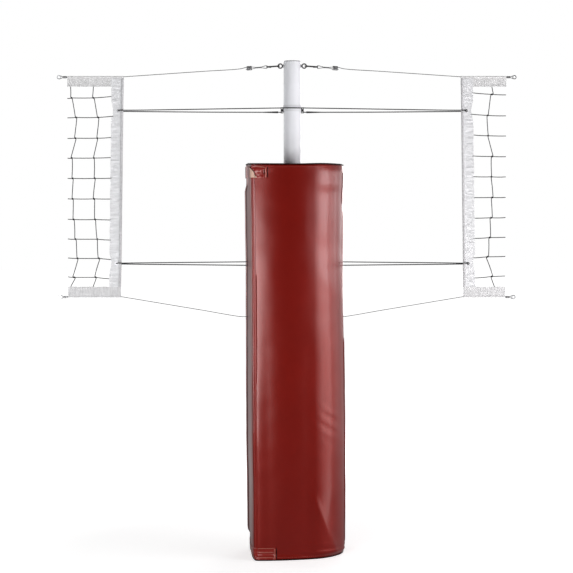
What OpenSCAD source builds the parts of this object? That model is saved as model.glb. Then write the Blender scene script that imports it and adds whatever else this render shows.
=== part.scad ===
// Padded centre post with the end sections of two volleyball nets.
// Origin: pole axis at the floor. +Z up, nets in the plane Y = 0, front of the pad faces -Y.

/* [Mast] */
// Outside diameter of the mast, the upper tube that slides
mast_d = 80; // [70:1:90]
// Wall of the mast
mast_wall = 3; // [2:0.5:4]
// Height of the top of the mast's cap
mast_top = 2310; // [2305:1:2400]
// Height of the mast's lower end, inside the base tube
mast_foot = 450; // [400:5:550]
// Thickness of the cap on top of the mast
cap_t = 4; // [3:0.5:6]
// Depth of the cap's plug in the mast
cap_plug = 10; // [6:1:10]

/* [Base] */
// Wall of the base tube
base_wall = 3; // [2:0.5:5]
// Height of the base tube's rim
base_top = 900; // [850:5:930]
// Diameter of the floor plate
plate_d = 210; // [200:1:230]
// Thickness of the floor plate
plate_t = 10; // [8:1:14]
// Circle through the anchor holes
bolt_circle = 160; // [150:1:170]
// Diameter of an anchor hole
bolt_hole_d = 14; // [10:1:18]
// Height of the gussets above the floor plate
gusset_h = 60; // [40:1:90]
// Thickness of a gusset
gusset_t = 8; // [5:1:12]

/* [Height lock] */
// Wall of the plastic guide bushes
bush_wall = 1.7; // [1.2:0.1:3]
// Length of a guide bush
bush_l = 50; // [45:1:70]
// Wall of the clamp collar
collar_wall = 9; // [7:0.5:12]
// Thickness of the collar's lip over the base tube's rim
lip_t = 5; // [4:0.5:8]
// Diameter of the stop pin
pin_d = 12; // [8:1:14]
// Distance between the height holes
hole_pitch = 38; // [25:1:60]
// Height holes below the one in use
hole_count = 5; // [1:1:5]
// Diameter of the clamp screw
screw_d = 12; // [8:1:14]
// Diameter of the clamp knob
knob_d = 56; // [40:1:70]
// Height of the clamp knob
knob_h = 22; // [16:1:26]
// How far the screw's threaded boss stands out of the collar
boss_l = 16; // [12:1:20]

/* [Cable fixings] */
// Height of the upper eye bolts
top_eye_z = 2287; // [2282:1:2289]
// Height of the lower eye bolts
bottom_eye_z = 1080; // [1076:1:1110]
// Wire of an eye bolt
eye_wire = 6; // [5:0.5:7]
// Radius of an eye's centre line
eye_r = 10; // [9:0.5:12]
// Thickness of the saddle washer under an eye
washer_t = 2.5; // [2:0.5:4]
// Wire of a snap hook
hook_wire = 5.5; // [4:0.5:6]
// Length of a snap hook along its centre line
hook_l = 60; // [55:1:70]
// Width of a snap hook between its wires' centres
hook_w = 20; // [18:1:24]
// Length of the gate between its pivot and its tip
gate_l = 28; // [24:1:30]
// Diameter of a net cable
cable_d = 3.2; // [2.4:0.1:4]
// Length of a swage sleeve at the pole
sleeve_l = 24; // [16:1:30]
// Distance from the eye to the sleeve
sleeve_at = 134; // [120:1:140]
// Half the distance between the strands in a sleeve
sleeve_gap = 4.4; // [3:0.1:5]
// Thickness of a sleeve
sleeve_w = 11; // [9:0.5:13]
// Radius of the bore of an end thimble
thimble_r = 6; // [5:0.5:8]
// Width of an end thimble
thimble_w = 6; // [5:0.5:8]

/* [Net] */
// Height of the net's top edge
net_top = 2240; // [2225:1:2255]
// Height of the net's bottom edge
net_bottom = 1202; // [1195:1:1230]
// Distance from the pole's axis to the net's top corner
net_in_top = 790; // [780:1:800]
// Distance from the pole's axis to the net's bottom corner
net_in_bottom = 806; // [801:1:830]
// Distance from the pole's axis to the left net's cut end
left_end = 1055; // [1050:1:1080]
// Distance from the pole's axis to the right net's cut end
right_end = 1003; // [1000:1:1060]
// Distance from the pole's axis to the left net's first upright string
left_first = 932; // [925:1:940]
// Distance from the pole's axis to the right net's first upright string
right_first = 941; // [930:1:950]
// Distance between upright strings
column_pitch = 106; // [95:1:110]
// Upright strings in the left section
left_columns = 2; // [1:1:2]
// Upright strings in the right section
right_columns = 1; // [1:1:1]
// Drop from the net's top edge to the left net's first row
left_drop = 98; // [85:1:105]
// Drop from the net's top edge to the right net's first row
right_drop = 81; // [75:1:105]
// Distance between the rows of the net
row_pitch = 94.5; // [90:0.5:95]
// Rows of string between the tapes
rows = 10; // [4:1:10]
// Thickness of a net string
string_d = 4; // [2:0.5:5]
// How far the uprights sway off their line
sway = 20; // [0:1:24]
// Height of the top tape
top_tape_h = 49; // [45:1:65]
// Height of the bottom tape
bottom_tape_h = 50; // [35:1:55]
// Width of the side hem
hem_w = 57; // [48:1:60]
// Thickness of the doubled cloth
cloth_t = 2.4; // [1.6:0.1:3]
// Diameter of the stiffening dowel
dowel_d = 9.5; // [8:0.5:10]
// Wall of the sewn pockets round the dowel and the cables
pocket_wall = 1.3; // [1:0.1:2]
// Distance from the hem's edge to a grommet
grommet_in = 24; // [22:1:28]
// Radius of a grommet's hole
grommet_r = 4; // [3.5:0.5:5]

/* [Ropes] */
// Thickness of the tension ropes
rope_d = 5; // [4:0.5:6]
// Drop from the net's top edge to the upper rope
upper_rope_drop = 160; // [140:1:180]
// Rise from the net's bottom edge to the lower rope
lower_rope_rise = 159; // [138:1:178]
// Height of a band
band_h = 30; // [28:1:40]
// Thickness of a band
band_t = 2; // [1:0.5:3]
// Length of a lug out from the band
lug_l = 12; // [11:0.5:14]
// Height of a lug
lug_h = 28; // [26:1:32]
// Thickness of a lug
lug_t = 6; // [5:0.5:7]
// Half the distance between a lug's two holes
lug_hole_gap = 9; // [7:0.5:9.5]
// Wire of a rope hook
rope_hook_wire = 3.6; // [3:0.2:4]
// Length of a rope hook's coated shank
shank_l = 68; // [50:1:75]
// Thickness of the shank where it meets the hook
shank_d = 9; // [7:0.5:10]

/* [Pad] */
// Height of the pad
pad_h = 1823; // [1790:1:1860]
// Thickness of the foam
foam = 55; // [45:1:60]
// How much wider the pad is at its top, as a share of its width
pad_flare = 0.047; // [0:0.001:0.06]
// Distance from the pole's axis to the pad's hinge side
hinge_x = 240; // [230:1:250]
// Radius of the pad's top and bottom edges
edge_r = 12; // [8:1:20]
// Half the gap where the two halves meet
seam_gap = 0.5; // [0.5:0.1:2]
// Half the width of the slots that the cables run in
slot_half = 16; // [12:1:18]
// Height of the slots' lower end
slot_low = 1030; // [1010:1:1040]
// Height of the slots' upper end
slot_high = 1620; // [1610:1:1640]
// Length over which a slot closes
slot_close = 40; // [20:1:50]
// Thickness of the foam panels that close the pad's top
panel_t = 40; // [25:1:60]
// Drop from the pad's top to the panels
panel_drop = 12; // [6:1:30]
// Thickness of the vinyl hinge leaves and straps
vinyl_t = 1.7; // [1:0.1:3]
// Height of the top strap
top_strap_h = 54; // [40:1:60]
// Height of the bottom strap
bottom_strap_h = 55; // [40:1:60]
// Drop from the pad's top to the top strap
top_strap_drop = 14; // [10:1:40]
// Height of the bottom strap's lower edge
bottom_strap_z = 5; // [4:1:30]

/* [Hidden] */
$fn = 48;

fit_gap = 0.3;
snug = 0.15;
past = 1;
mast_r = mast_d / 2;
bore_r = mast_r - mast_wall;
base_r = mast_r + fit_gap + bush_wall + base_wall;
base_bore_r = base_r - base_wall;
tube_top = mast_top - cap_t;
collar_r = base_r + collar_wall;
collar_top = base_top + lip_t;
collar_low = base_top - bush_l;
clamp_z = base_top - bush_l / 2;
pin_z = collar_top + fit_gap + pin_d / 2;
pin_tip = mast_r + 2;
pin_head = collar_r + 1;
pin_head_t = 4;
pin_ring_r = 9;
pin_ring_wire = 3;
pin_handle = pin_head + pin_head_t + pin_ring_r;
boss_r = screw_d / 2 + 7;
tip_l = 4;
tip_r = screw_d / 2 - 0.5;
knob_at = collar_r + boss_l + 8;

eye_x = mast_r + washer_t + eye_r + eye_wire / 2 + 0.5;
eye_shank_d = eye_wire + 2;
nut_t = 7;
nut_r = eye_shank_d * 0.95;
cable_rise = pocket_wall + fit_gap + cable_d / 2;
top_corner = [net_in_top, net_top - cable_rise];
bottom_corner = [net_in_bottom, net_bottom + cable_rise];
levels = ["top", "bottom"];
function corner(level) = level == "top" ? top_corner : bottom_corner;
function eye_z(level) = level == "top" ? top_eye_z : bottom_eye_z;
function tilt(level) = atan2(corner(level)[1] - eye_z(level), corner(level)[0] - eye_x);
function run(level) = norm(corner(level) - [eye_x, eye_z(level)]);

hook_near = eye_r - eye_wire / 2 - fit_gap - hook_wire / 2;
hook_far = hook_near + hook_l;
gate_pivot = hook_far - hook_w / 2 - 8;
knuckle_r = 3.4;
knuckle_h = 4.4;
gate_r = min(hook_wire - 1, knuckle_h) / 2;
rivet_r = 1.4;
cheek_t = 1.3;

loop_r = 2 * cable_d;
loop_at = hook_far - hook_wire / 2 - fit_gap - cable_d / 2 + loop_r;
waist = cable_d / 2 + fit_gap;
sleeve_end = sleeve_at + sleeve_l;
tail_l = 4;
far_sleeve_l = 16;
far_loop_l = 20;
thimble_wall = 0.8;
groove_r = thimble_r + thimble_wall + cable_d / 2;

dowel_pocket_r = dowel_d / 2 + fit_gap + pocket_wall;
function hem_x(z) = net_in_top + (net_in_bottom - net_in_top) * (net_top - z) / (net_top - net_bottom);
hem_low = net_bottom + bottom_tape_h;
hem_high = net_top - top_tape_h;
hem_lean = atan2(net_in_bottom - net_in_top, net_top - net_bottom);

lug_hole_r = 3.2;
lug_hole_x = mast_r + band_t + lug_l / 2 + 0.4;
rope_hook_r = 8.5;
rope_hook_x = lug_hole_x + lug_hole_r - fit_gap / 2 - rope_hook_wire / 2 - 0.6 + rope_hook_r;
shank_x = rope_hook_x + rope_hook_r;
shank_end = shank_x + shank_l;
upper_rope_z = net_top - upper_rope_drop;
lower_rope_z = net_bottom + lower_rope_rise;
rope_turn_r = dowel_pocket_r + rope_d / 2 + 0.8;
rope_spread = 60;
rope_clear_x = 90;
rope_flat_x = 18;
rope_front = mast_r + band_t + rope_d / 2 + fit_gap;

// Plan of the pad at the floor, as Bezier spans that run round it from the open seam
left_face = [[-184, 0], [-192, -80], [-182, -175], [-170, -220]];
ridge = [[-170, -220], [-168, -227], [-163, -231], [-155, -232]];
front_face = [[-155, -232], [-70, -232], [40, -212], [110, -186]];
right_front = [[110, -186], [185, -156], [hinge_x, -75], [hinge_x, 0]];
right_rear = [[hinge_x, 0], [hinge_x, 115], [125, 222], [0, 222]];
left_rear = [[0, 222], [-105, 222], [-190, 140], [-197, 50]];
seam_return = [[-197, 50], [-199, 28], [-190, 8], [-184, 0]];

function bezier(c, t) =
    let (s = 1 - t) s * s * s * c[0] + 3 * s * s * t * c[1] + 3 * s * t * t * c[2] + t * t * t * c[3];
function span(c, steps) = [for (k = [0:steps - 1]) bezier(c, k / steps)];
front_half = concat(span(left_face, 5), span(ridge, 4), span(front_face, 10), span(right_front, 9));
rear_half = concat(span(right_rear, 10), span(left_rear, 9), span(seam_return, 4));
plan = concat(front_half, rear_half);
plan_n = len(plan);
hinge_i = len(front_half);
ridge_i = 9;
function around(i) = plan[(i + plan_n) % plan_n];
function outward(i) = let (d = around(i + 1) - around(i - 1)) [d[1], -d[0]] / norm(d);
function flared(p, z) = [hinge_x - (hinge_x - p[0]) * (1 + pad_flare * z / pad_h), p[1]];
function pad_at(i, out, z) = flared(around(i) + out * outward(i), z);
function inner_at(i, deep, z) = flared(around(i) * (1 - deep / norm(around(i))), z);
function strip(first, last, low, high, z) = concat(
    [for (i = [first:last]) pad_at(i, low, z)],
    [for (i = [last:-1:first]) pad_at(i, high, z)]);

patch_low = 0.7;
patch_t = 1.1;
strap_low = 0.7;
tail_low = patch_low + patch_t + 0.7;
hinge_axis_x = hinge_x + strap_low + vinyl_t + fit_gap;
tail_hinge_y = 0.6;
seam_reach = 50;
panel_z = pad_h - panel_drop - panel_t;
top_strap_z = pad_h - top_strap_drop - top_strap_h;

function unit(v) = v / norm(v);
function heading(route, i) = unit(route[min(i + 1, len(route) - 1)] - route[max(i - 1, 0)]);
function flip(route) = [for (i = [len(route) - 1:-1:0]) [-route[i][0], route[i][1], route[i][2]]];

// Tube of flat sides swept along a route, with its rings square to the route
module cord(route, d, across, sides = 8) {
    last = len(route) - 1;
    rings = [for (i = [0:last])
        let (h = heading(route, i), a = unit(cross(h, across)), b = cross(h, a))
        for (k = [0:sides - 1])
            route[i] + d / 2 * (cos(360 * k / sides) * a + sin(360 * k / sides) * b)];
    walls = [for (i = [0:last - 1]) for (k = [0:sides - 1])
        let (j = (k + 1) % sides, low = i * sides, high = low + sides)
        each [[low + k, high + j, low + j], [low + k, high + k, high + j]]];
    near_cap = [for (k = [1:sides - 2]) [0, k, k + 1]];
    far_cap = [for (k = [1:sides - 2]) last * sides * [1, 1, 1] + [0, k + 1, k]];
    polyhedron(rings, concat(walls, near_cap, far_cap), convexity = 4);
}

module mirrored(side) {
    mirror([side < 0 ? 1 : 0, 0, 0]) children();
}

module at_eye(side, level) {
    mirrored(side) translate([eye_x, 0, eye_z(level)]) rotate([0, -tilt(level), 0]) children();
}

module along_x() {
    rotate([0, 90, 0]) children();
}

module along_y() {
    rotate([-90, 0, 0]) children();
}

module along_left() {
    rotate([0, -90, 0]) children();
}

module tube(r, bore, h) {
    difference() {
        cylinder(r = r, h = h, $fn = 96);
        translate([0, 0, -past]) cylinder(r = bore, h = h + 2 * past, $fn = 96);
    }
}

module ring(r, wire) {
    rotate_extrude($fn = 96) translate([r, 0]) circle(d = wire, $fn = 24);
}

// ---- base ----

module base_plate() color("dimgray") {
    difference() {
        cylinder(d = plate_d, h = plate_t, $fn = 96);
        for (a = [45:90:315])
            rotate([0, 0, a]) translate([bolt_circle / 2, 0, -past])
                cylinder(d = bolt_hole_d, h = plate_t + 2 * past);
    }
    difference() {
        for (a = [0:90:270])
            rotate([90, 0, a]) translate([0, plate_t, -gusset_t / 2]) linear_extrude(gusset_t)
                polygon([[0, 0], [plate_d / 2 - 10, 0], [plate_d / 2 - 10, 8],
                    [base_r + 6, gusset_h], [0, gusset_h]]);
        translate([0, 0, plate_t - past]) cylinder(r = base_r, h = gusset_h + 2 * past, $fn = 96);
    }
}

module clamp_hole(r) {
    translate([0, 0, clamp_z]) along_left() cylinder(r = r, h = collar_r + boss_l + 4);
}

module base_tube() color("silver") difference() {
    translate([0, 0, plate_t]) tube(base_r, base_bore_r, base_top - plate_t);
    clamp_hole(screw_d / 2 + fit_gap);
}

module guide_bush() color("ivory") difference() {
    translate([0, 0, base_top - bush_l]) tube(base_bore_r, mast_r + fit_gap, bush_l);
    clamp_hole(screw_d / 2 + fit_gap);
}

module clamp_collar() color("slategray") difference() {
    union() {
        translate([0, 0, collar_low]) cylinder(r = collar_r, h = bush_l + lip_t, $fn = 96);
        translate([0, 0, clamp_z]) along_left() cylinder(r = boss_r, h = collar_r + boss_l);
    }
    translate([0, 0, collar_low - past]) cylinder(r = base_r + snug, h = bush_l + past, $fn = 96);
    translate([0, 0, collar_low]) cylinder(r = mast_r + 2 * fit_gap, h = bush_l + lip_t + past, $fn = 96);
    clamp_hole(screw_d / 2 + fit_gap);
}

module clamp_tip() color("goldenrod")
    translate([-mast_r - fit_gap, 0, clamp_z]) along_left() cylinder(r = tip_r, h = tip_l);

module clamp_screw() color("silver")
    translate([-mast_r - fit_gap - tip_l, 0, clamp_z]) along_left()
        cylinder(d = screw_d, h = knob_at + 6 - mast_r - fit_gap - tip_l);

module clamp_knob() color("black") translate([-knob_at, 0, clamp_z]) along_left() difference() {
    union() {
        cylinder(d = knob_d - 10, h = knob_h);
        for (a = [0:60:300])
            rotate([0, 0, a]) translate([knob_d / 2 - 9, 0, 0]) cylinder(r = 9, h = knob_h);
    }
    translate([0, 0, -past]) cylinder(d = screw_d, h = 6 + past);
}

module stop_pin() color("silver") translate([0, 0, pin_z]) {
    translate([0, -pin_tip, 0]) along_y() cylinder(d = pin_d, h = pin_tip + pin_head);
    translate([0, pin_head, 0]) along_y() cylinder(d = pin_d + 6, h = pin_head_t);
    translate([0, pin_handle, 0]) ring(pin_ring_r, pin_ring_wire);
}

// ---- mast ----

module eye_places() {
    for (side = [-1, 1]) for (level = levels)
        mirrored(side) translate([0, 0, eye_z(level)]) children();
}

module mast_tube() color("white") difference() {
    translate([0, 0, mast_foot]) tube(mast_r, bore_r, tube_top - mast_foot);
    for (k = [0:hole_count])
        translate([0, -mast_r - past, pin_z - k * hole_pitch]) along_y()
            cylinder(d = pin_d + 2 * fit_gap, h = mast_d + 2 * past);
    eye_places() along_x() cylinder(d = eye_shank_d + 2 * snug, h = mast_r + past);
}

module slide_bush() color("ivory")
    translate([0, 0, mast_foot]) tube(base_bore_r - fit_gap, mast_r, bush_l);

module mast_cap() color("lightgray") {
    translate([0, 0, tube_top]) cylinder(r1 = mast_r, r2 = mast_r - 1, h = cap_t, $fn = 96);
    translate([0, 0, tube_top - cap_plug]) cylinder(r = bore_r - snug, h = cap_plug, $fn = 96);
}

module eye_bolts() color("dimgray") eye_places() {
    translate([eye_x, 0, 0]) rotate([90, 0, 0]) ring(eye_r, eye_wire);
    translate([bore_r - nut_t - 2, 0, 0]) along_x()
        cylinder(d = eye_shank_d, h = eye_x - eye_r - bore_r + nut_t + 2);
}

module eye_washers() color("silver") eye_places() difference() {
    along_x() cylinder(d = eye_shank_d * 2, h = mast_r + washer_t);
    along_x() cylinder(d = eye_shank_d, h = mast_r + washer_t + past);
    cylinder(r = mast_r, h = 3 * eye_shank_d, center = true, $fn = 96);
}

module eye_nuts() color("silver") eye_places() difference() {
    intersection() {
        translate([bore_r - nut_t, 0, 0]) along_x() cylinder(r = nut_r, h = nut_t, $fn = 6);
        cylinder(r = bore_r, h = 4 * nut_r, center = true, $fn = 96);
    }
    along_x() cylinder(d = eye_shank_d, h = mast_r);
}

// ---- snap hooks, one wire bent round with a gate that swings in ----

module bow(at, turn) {
    translate([at, 0, 0]) rotate([0, 0, turn])
        rotate_extrude(angle = 180, $fn = 96) translate([hook_w / 2, 0]) circle(d = hook_wire, $fn = 24);
}

module snap_hook() color("dimgray") {
    half = hook_w / 2;
    near = hook_near + half;
    far = hook_far - half;
    tip = gate_pivot - gate_l - fit_gap;
    bow(near, 90);
    bow(far, -90);
    translate([near, -half, 0]) along_x() cylinder(d = hook_wire, h = far - near);
    translate([near, half, 0]) along_x() cylinder(d = hook_wire, h = tip - near);
    translate([gate_pivot + knuckle_r + fit_gap, half, 0]) along_x()
        cylinder(d = hook_wire, h = far - gate_pivot - knuckle_r - fit_gap);
    translate([gate_pivot, half, -knuckle_h / 2 - fit_gap - cheek_t])
        cylinder(r = rivet_r, h = knuckle_h + 2 * (fit_gap + cheek_t));
    for (turn = [0, 180])
        translate([0, half, 0]) rotate([turn, 0, 0]) translate([0, 0, knuckle_h / 2 + fit_gap]) {
            translate([gate_pivot, 0, 0]) cylinder(r = knuckle_r - 0.4, h = cheek_t);
            translate([gate_pivot, -2.4, 0]) cube([knuckle_r + 3, 4.8, cheek_t]);
            translate([gate_pivot + knuckle_r + fit_gap, -2.4, -cheek_t]) cube([2.7, 4.8, 2 * cheek_t]);
        }
}

module snap_gate() color("silver") translate([gate_pivot, hook_w / 2, 0]) difference() {
    union() {
        translate([-gate_l, 0, 0]) along_x() cylinder(r = gate_r, h = gate_l - rivet_r - 0.4);
        translate([0, 0, -knuckle_h / 2]) cylinder(r = knuckle_r, h = knuckle_h);
    }
    translate([0, 0, -knuckle_h]) cylinder(r = rivet_r + fit_gap / 3, h = 2 * knuckle_h);
}

// ---- cables ----

// A point beside the line from an eye to its net corner: u along it, w above it
function beside(level, u, w) = [eye_x + u * cos(tilt(level)) - w * sin(tilt(level)), 0,
    eye_z(level) + u * sin(tilt(level)) + w * cos(tilt(level))];

// Out to the net corner, along the tape and round the end thimble; every point for the right side
function cable_route(level, end) =
    let (z = corner(level)[1], x = corner(level)[0], far = run(level), sleeve_x = end + 3,
        sleeve_out = sleeve_x + far_sleeve_l, eye = sleeve_out + far_loop_l, drop = 2 * waist)
    concat(
        [for (p = [[sleeve_end + tail_l, -sleeve_gap], [sleeve_at - 2, -sleeve_gap],
            [sleeve_at - 16, -waist], [loop_at + 24, -waist]]) beside(level, p[0], p[1])],
        [for (a = [-90:-22.5:-270]) beside(level, loop_at + loop_r * cos(a), loop_r * sin(a))],
        [for (p = [[loop_at + 24, waist], [sleeve_at - 16, waist], [sleeve_at - 2, sleeve_gap],
            [sleeve_end + 2, sleeve_gap], [sleeve_end + 30, 0], [far - 20, 0], [far - 2, 0]])
            beside(level, p[0], p[1])],
        [[x + 2, 0, z], [x + 20, 0, z], [end, 0, z], [sleeve_out, 0, z]],
        [for (a = [110:-22:-110])
            [eye + groove_r * cos(a), 0, z - waist + groove_r * sin(a)]],
        [[sleeve_out, 0, z - drop], [sleeve_x - 2, 0, z - drop]]);

module cable(side, level) color("lightgray") {
    route = cable_route(level, side < 0 ? left_end : right_end);
    cord(side < 0 ? flip(route) : route, cable_d, [0, 1, 0]);
}

module oval_sleeve(half, r, long) {
    bore = cable_d / 2 + snug / 2;
    along_x() difference() {
        union() {
            for (w = [-half, half]) translate([w, 0, 0]) cylinder(r = r, h = long);
            translate([-half, -r, 0]) cube([2 * half, 2 * r, long]);
        }
        for (w = [-half, half]) translate([w, 0, -past]) cylinder(r = bore, h = long + 2 * past);
    }
}

module pole_sleeves() color("darkgray")
    for (side = [-1, 1]) for (level = levels)
        at_eye(side, level) translate([sleeve_at, 0, 0]) oval_sleeve(sleeve_gap, sleeve_w / 2, sleeve_l);

module far_ends() {
    for (side = [-1, 1]) for (level = levels)
        mirrored(side) translate([side < 0 ? left_end : right_end, 0, corner(level)[1] - waist])
            children();
}

module end_sleeves() color("darkgray")
    far_ends() translate([3, 0, 0]) oval_sleeve(waist, cable_d / 2 + 1.6, far_sleeve_l);

module end_thimbles() color("silver")
    far_ends() translate([3 + far_sleeve_l + far_loop_l, 0, 0]) rotate([90, 0, 0]) difference() {
        rotate_extrude($fn = 96) difference() {
            translate([thimble_r, -thimble_w / 2])
                square([thimble_wall + cable_d * 0.7, thimble_w]);
            translate([groove_r, 0]) circle(d = cable_d + 2 * snug, $fn = 24);
            translate([groove_r, -cable_d / 2 - snug]) square([cable_d, cable_d + 2 * snug]);
        }
    }

// ---- bands, lugs, hooks and tension ropes ----

rope_heights = [upper_rope_z, lower_rope_z];

module band(z) color("white")
    translate([0, 0, z + 8 - band_h / 2]) tube(mast_r + band_t, mast_r, band_h);

module upper_band() band(upper_rope_z);

module lower_band() band(lower_rope_z);

module rope_lugs() color("black")
    for (side = [-1, 1]) for (z = rope_heights) mirrored(side) difference() {
        translate([0, -lug_t / 2, z - lug_h / 2]) cube([mast_r + band_t + lug_l, lug_t, lug_h]);
        cylinder(r = mast_r + band_t, h = 2 * mast_top, $fn = 96);
        for (step = [-1, 1])
            translate([lug_hole_x, -lug_t, z + step * lug_hole_gap]) along_y()
                cylinder(r = lug_hole_r, h = 2 * lug_t);
    }

module rope_hook() {
    translate([rope_hook_x, 0, 0]) ring(rope_hook_r, rope_hook_wire);
    translate([shank_x, 0, 0]) along_x() cylinder(d1 = shank_d, d2 = rope_d, h = shank_l);
}

module rope_hooks() color("black")
    for (side = [-1, 1]) mirrored(side) {
        translate([0, 0, upper_rope_z - lug_hole_gap]) rope_hook();
        for (step = [-1, 1]) translate([0, 0, lower_rope_z + step * lug_hole_gap]) rope_hook();
    }

// Through the grommet and back round the dowel pocket; from the front to the back, right side
function rope_turn(z, slope) =
    let (x = hem_x(z) + grommet_in - rope_turn_r)
    [for (a = [-90:18:90]) [x + rope_turn_r * cos(a), rope_turn_r * sin(a), z - slope * sin(a)]];

module upper_rope() color("black") {
    z = upper_rope_z;
    half = concat([[rope_flat_x, -rope_front, z + 8], [rope_clear_x, 3 - rope_front, z + 7.4]],
        [[hem_x(z) - rope_spread, -rope_turn_r - 2.5, z]], rope_turn(z - 2, 2),
        [[hem_x(z) - rope_spread, rope_turn_r - 1, z - 5], [shank_end, 0, z - lug_hole_gap]]);
    cord(concat(flip(half), [[0, -rope_front, z + 8]], half), rope_d, [0, 0, 1]);
}

module lower_rope(side) color("black") {
    z = lower_rope_z;
    half = concat([[shank_end, 0, z + lug_hole_gap], [hem_x(z) - rope_spread, 1 - rope_turn_r, z + 3]],
        rope_turn(z, 2),
        [[hem_x(z) - rope_spread, rope_turn_r - 1, z - 3], [shank_end, 0, z - lug_hole_gap]]);
    cord(side < 0 ? flip(half) : half, rope_d, [0, 0, 1]);
}

module lower_left_rope() lower_rope(-1);

module lower_right_rope() lower_rope(1);

// ---- nets ----

// Where the uprights sway to on each row, as a share of the whole sway
sway_shape = [0.2, -1, -0.9, 0.1, 0, 0.25, 0, -0.3, -0.8, 0.1];

// The upper rows rise towards the hem and the lower ones fall
function rise(k) = 5 - 1.1 * k;

module bead() {
    rotate([90, 0, 0]) cylinder(d = string_d, h = string_d * 0.8, center = true, $fn = 6);
}

module knot(at) translate(at) rotate([90, 0, 0])
    cylinder(d = 2.4 * string_d, h = string_d + 1, center = true, $fn = 8);

module string(a, b) {
    hull() {
        translate(a) bead();
        translate(b) bead();
    }
}

module net(side) color("dimgray") {
    columns = side < 0 ? left_columns : right_columns;
    first = side < 0 ? left_first : right_first;
    end = side < 0 ? left_end : right_end;
    drop = side < 0 ? left_drop : right_drop;
    row_z = [for (k = [0:rows - 1]) net_top - drop - k * row_pitch];
    knots = [for (c = [0:columns - 1]) [for (k = [0:rows - 1])
        [first + c * column_pitch + sway * sway_shape[k], 0, row_z[k] - rise(k) / 2]]];
    mirrored(side) {
        for (k = [0:rows - 1]) {
            string([hem_x(row_z[k]) + hem_w, 0, row_z[k] + rise(k)], knots[0][k]);
            for (c = [1:1:columns - 1]) string(knots[c - 1][k], knots[c][k]);
            string(knots[columns - 1][k], [end, 0, row_z[k] - rise(k)]);
            for (c = [0:columns - 1]) knot(knots[c][k]);
        }
        for (c = [0:columns - 1]) {
            string([first + c * column_pitch, 0, hem_high], knots[c][0]);
            for (k = [1:rows - 1]) string(knots[c][k - 1], knots[c][k]);
            string(knots[c][rows - 1], [first + c * column_pitch, 0, hem_low]);
        }
    }
}

module left_net() net(-1);

module right_net() net(1);

module tape(side, level) color("gainsboro") {
    inner = corner(level)[0];
    end = side < 0 ? left_end : right_end;
    deep = (level == "top" ? top_tape_h : bottom_tape_h) - cable_rise;
    mirrored(side) translate([inner, 0, corner(level)[1]]) rotate([90, 0, 90])
        linear_extrude(end - inner) difference() {
            union() {
                circle(r = cable_rise);
                translate([-cloth_t / 2, level == "top" ? -deep : 0]) square([cloth_t, deep]);
            }
            circle(r = cable_d / 2 + fit_gap);
        }
}

module hem_lean() {
    translate([hem_x(hem_low), 0, hem_low]) rotate([0, -hem_lean, 0]) children();
}

module hem(side) color("whitesmoke") mirrored(side) intersection() {
    hem_lean() translate([0, 0, -10]) difference() {
        linear_extrude(hem_high - hem_low + 20) difference() {
            union() {
                translate([dowel_pocket_r, 0]) circle(r = dowel_pocket_r);
                translate([dowel_pocket_r, -cloth_t / 2]) square([hem_w - dowel_pocket_r, cloth_t]);
            }
            translate([dowel_pocket_r, 0]) circle(r = dowel_d / 2 + fit_gap);
        }
        for (z = [upper_rope_z - 2, lower_rope_z])
            translate([grommet_in, -cloth_t, z - hem_low + 10]) along_y()
                cylinder(r = grommet_r + 1, h = 2 * cloth_t);
    }
    translate([0, -hem_w, hem_low]) cube([2 * left_end, 2 * hem_w, hem_high - hem_low]);
}

module left_hem() hem(-1);

module right_hem() hem(1);

module dowels() color("burlywood")
    for (side = [-1, 1]) mirrored(side) hem_lean()
        translate([dowel_pocket_r, 0, 2]) cylinder(d = dowel_d, h = hem_high - hem_low - 4);

module grommets() color("dimgray")
    for (side = [-1, 1]) for (z = [upper_rope_z - 2, lower_rope_z])
        mirrored(side) hem_lean() translate([grommet_in, 0, z - hem_low]) rotate([90, 0, 0])
            rotate_extrude($fn = 48) {
                translate([grommet_r, -cloth_t / 2 - 0.8]) square([1, cloth_t + 1.6]);
                for (y = [-cloth_t / 2 - 0.8, cloth_t / 2])
                    translate([grommet_r, y]) square([3.5, 0.8]);
            }

// ---- pad ----

// How far the edges at the top and bottom draw in
function drawn(z) =
    let (deep = max(0, edge_r - min(z + edge_r / 3, pad_h - z)))
    edge_r - sqrt(edge_r * edge_r - deep * deep);

// Half the gap between the halves: narrow, and wide in the cable slot
function gap(z) = let (t = min(z - slot_low, slot_high - z) / slot_close)
    seam_gap + (slot_half - seam_gap) * min(1, max(0, t));

pad_levels = [0, 2, 6, 20, slot_low, slot_low + slot_close, (slot_low + slot_high) / 2,
    slot_high - slot_close, slot_high, pad_h - 20, pad_h - 6, pad_h - 3, pad_h - 1, pad_h];

// Moves a point away from the seam, less and less up to seam_reach from it
function kept_apart(p, side, z) =
    let (far = abs(p[1]) + gap(z) * max(0, 1 - abs(p[1]) / seam_reach), right_side = p[1] * side >= 0)
    [p[0], side * (right_side ? max(far, gap(z)) : gap(z)), z];

// Wrap of foam: rings of outer then inner points, stacked on the levels
module pad_half(first, last, side) {
    n = last - first + 1;
    m = 2 * n;
    top = len(pad_levels) - 1;
    rings = [for (z = pad_levels) each concat(
        [for (i = [first:last]) kept_apart(pad_at(i, -drawn(z), z), side, z)],
        [for (i = [last:-1:first]) kept_apart(inner_at(i, foam, z), side, z)])];
    walls = [for (j = [0:top - 1]) for (k = [0:m - 1])
        let (low = j * m, high = low + m, next = (k + 1) % m)
        each [[low + k, high + k, high + next], [low + k, high + next, low + next]]];
    floor_cap = [for (k = [0:n - 2])
        each [[k, k + 1, m - 2 - k], [k, m - 2 - k, m - 1 - k]]];
    top_cap = [for (f = floor_cap) top * m * [1, 1, 1] + [f[0], f[2], f[1]]];
    polyhedron(rings, concat(walls, floor_cap, top_cap), convexity = 6);
}

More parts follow.
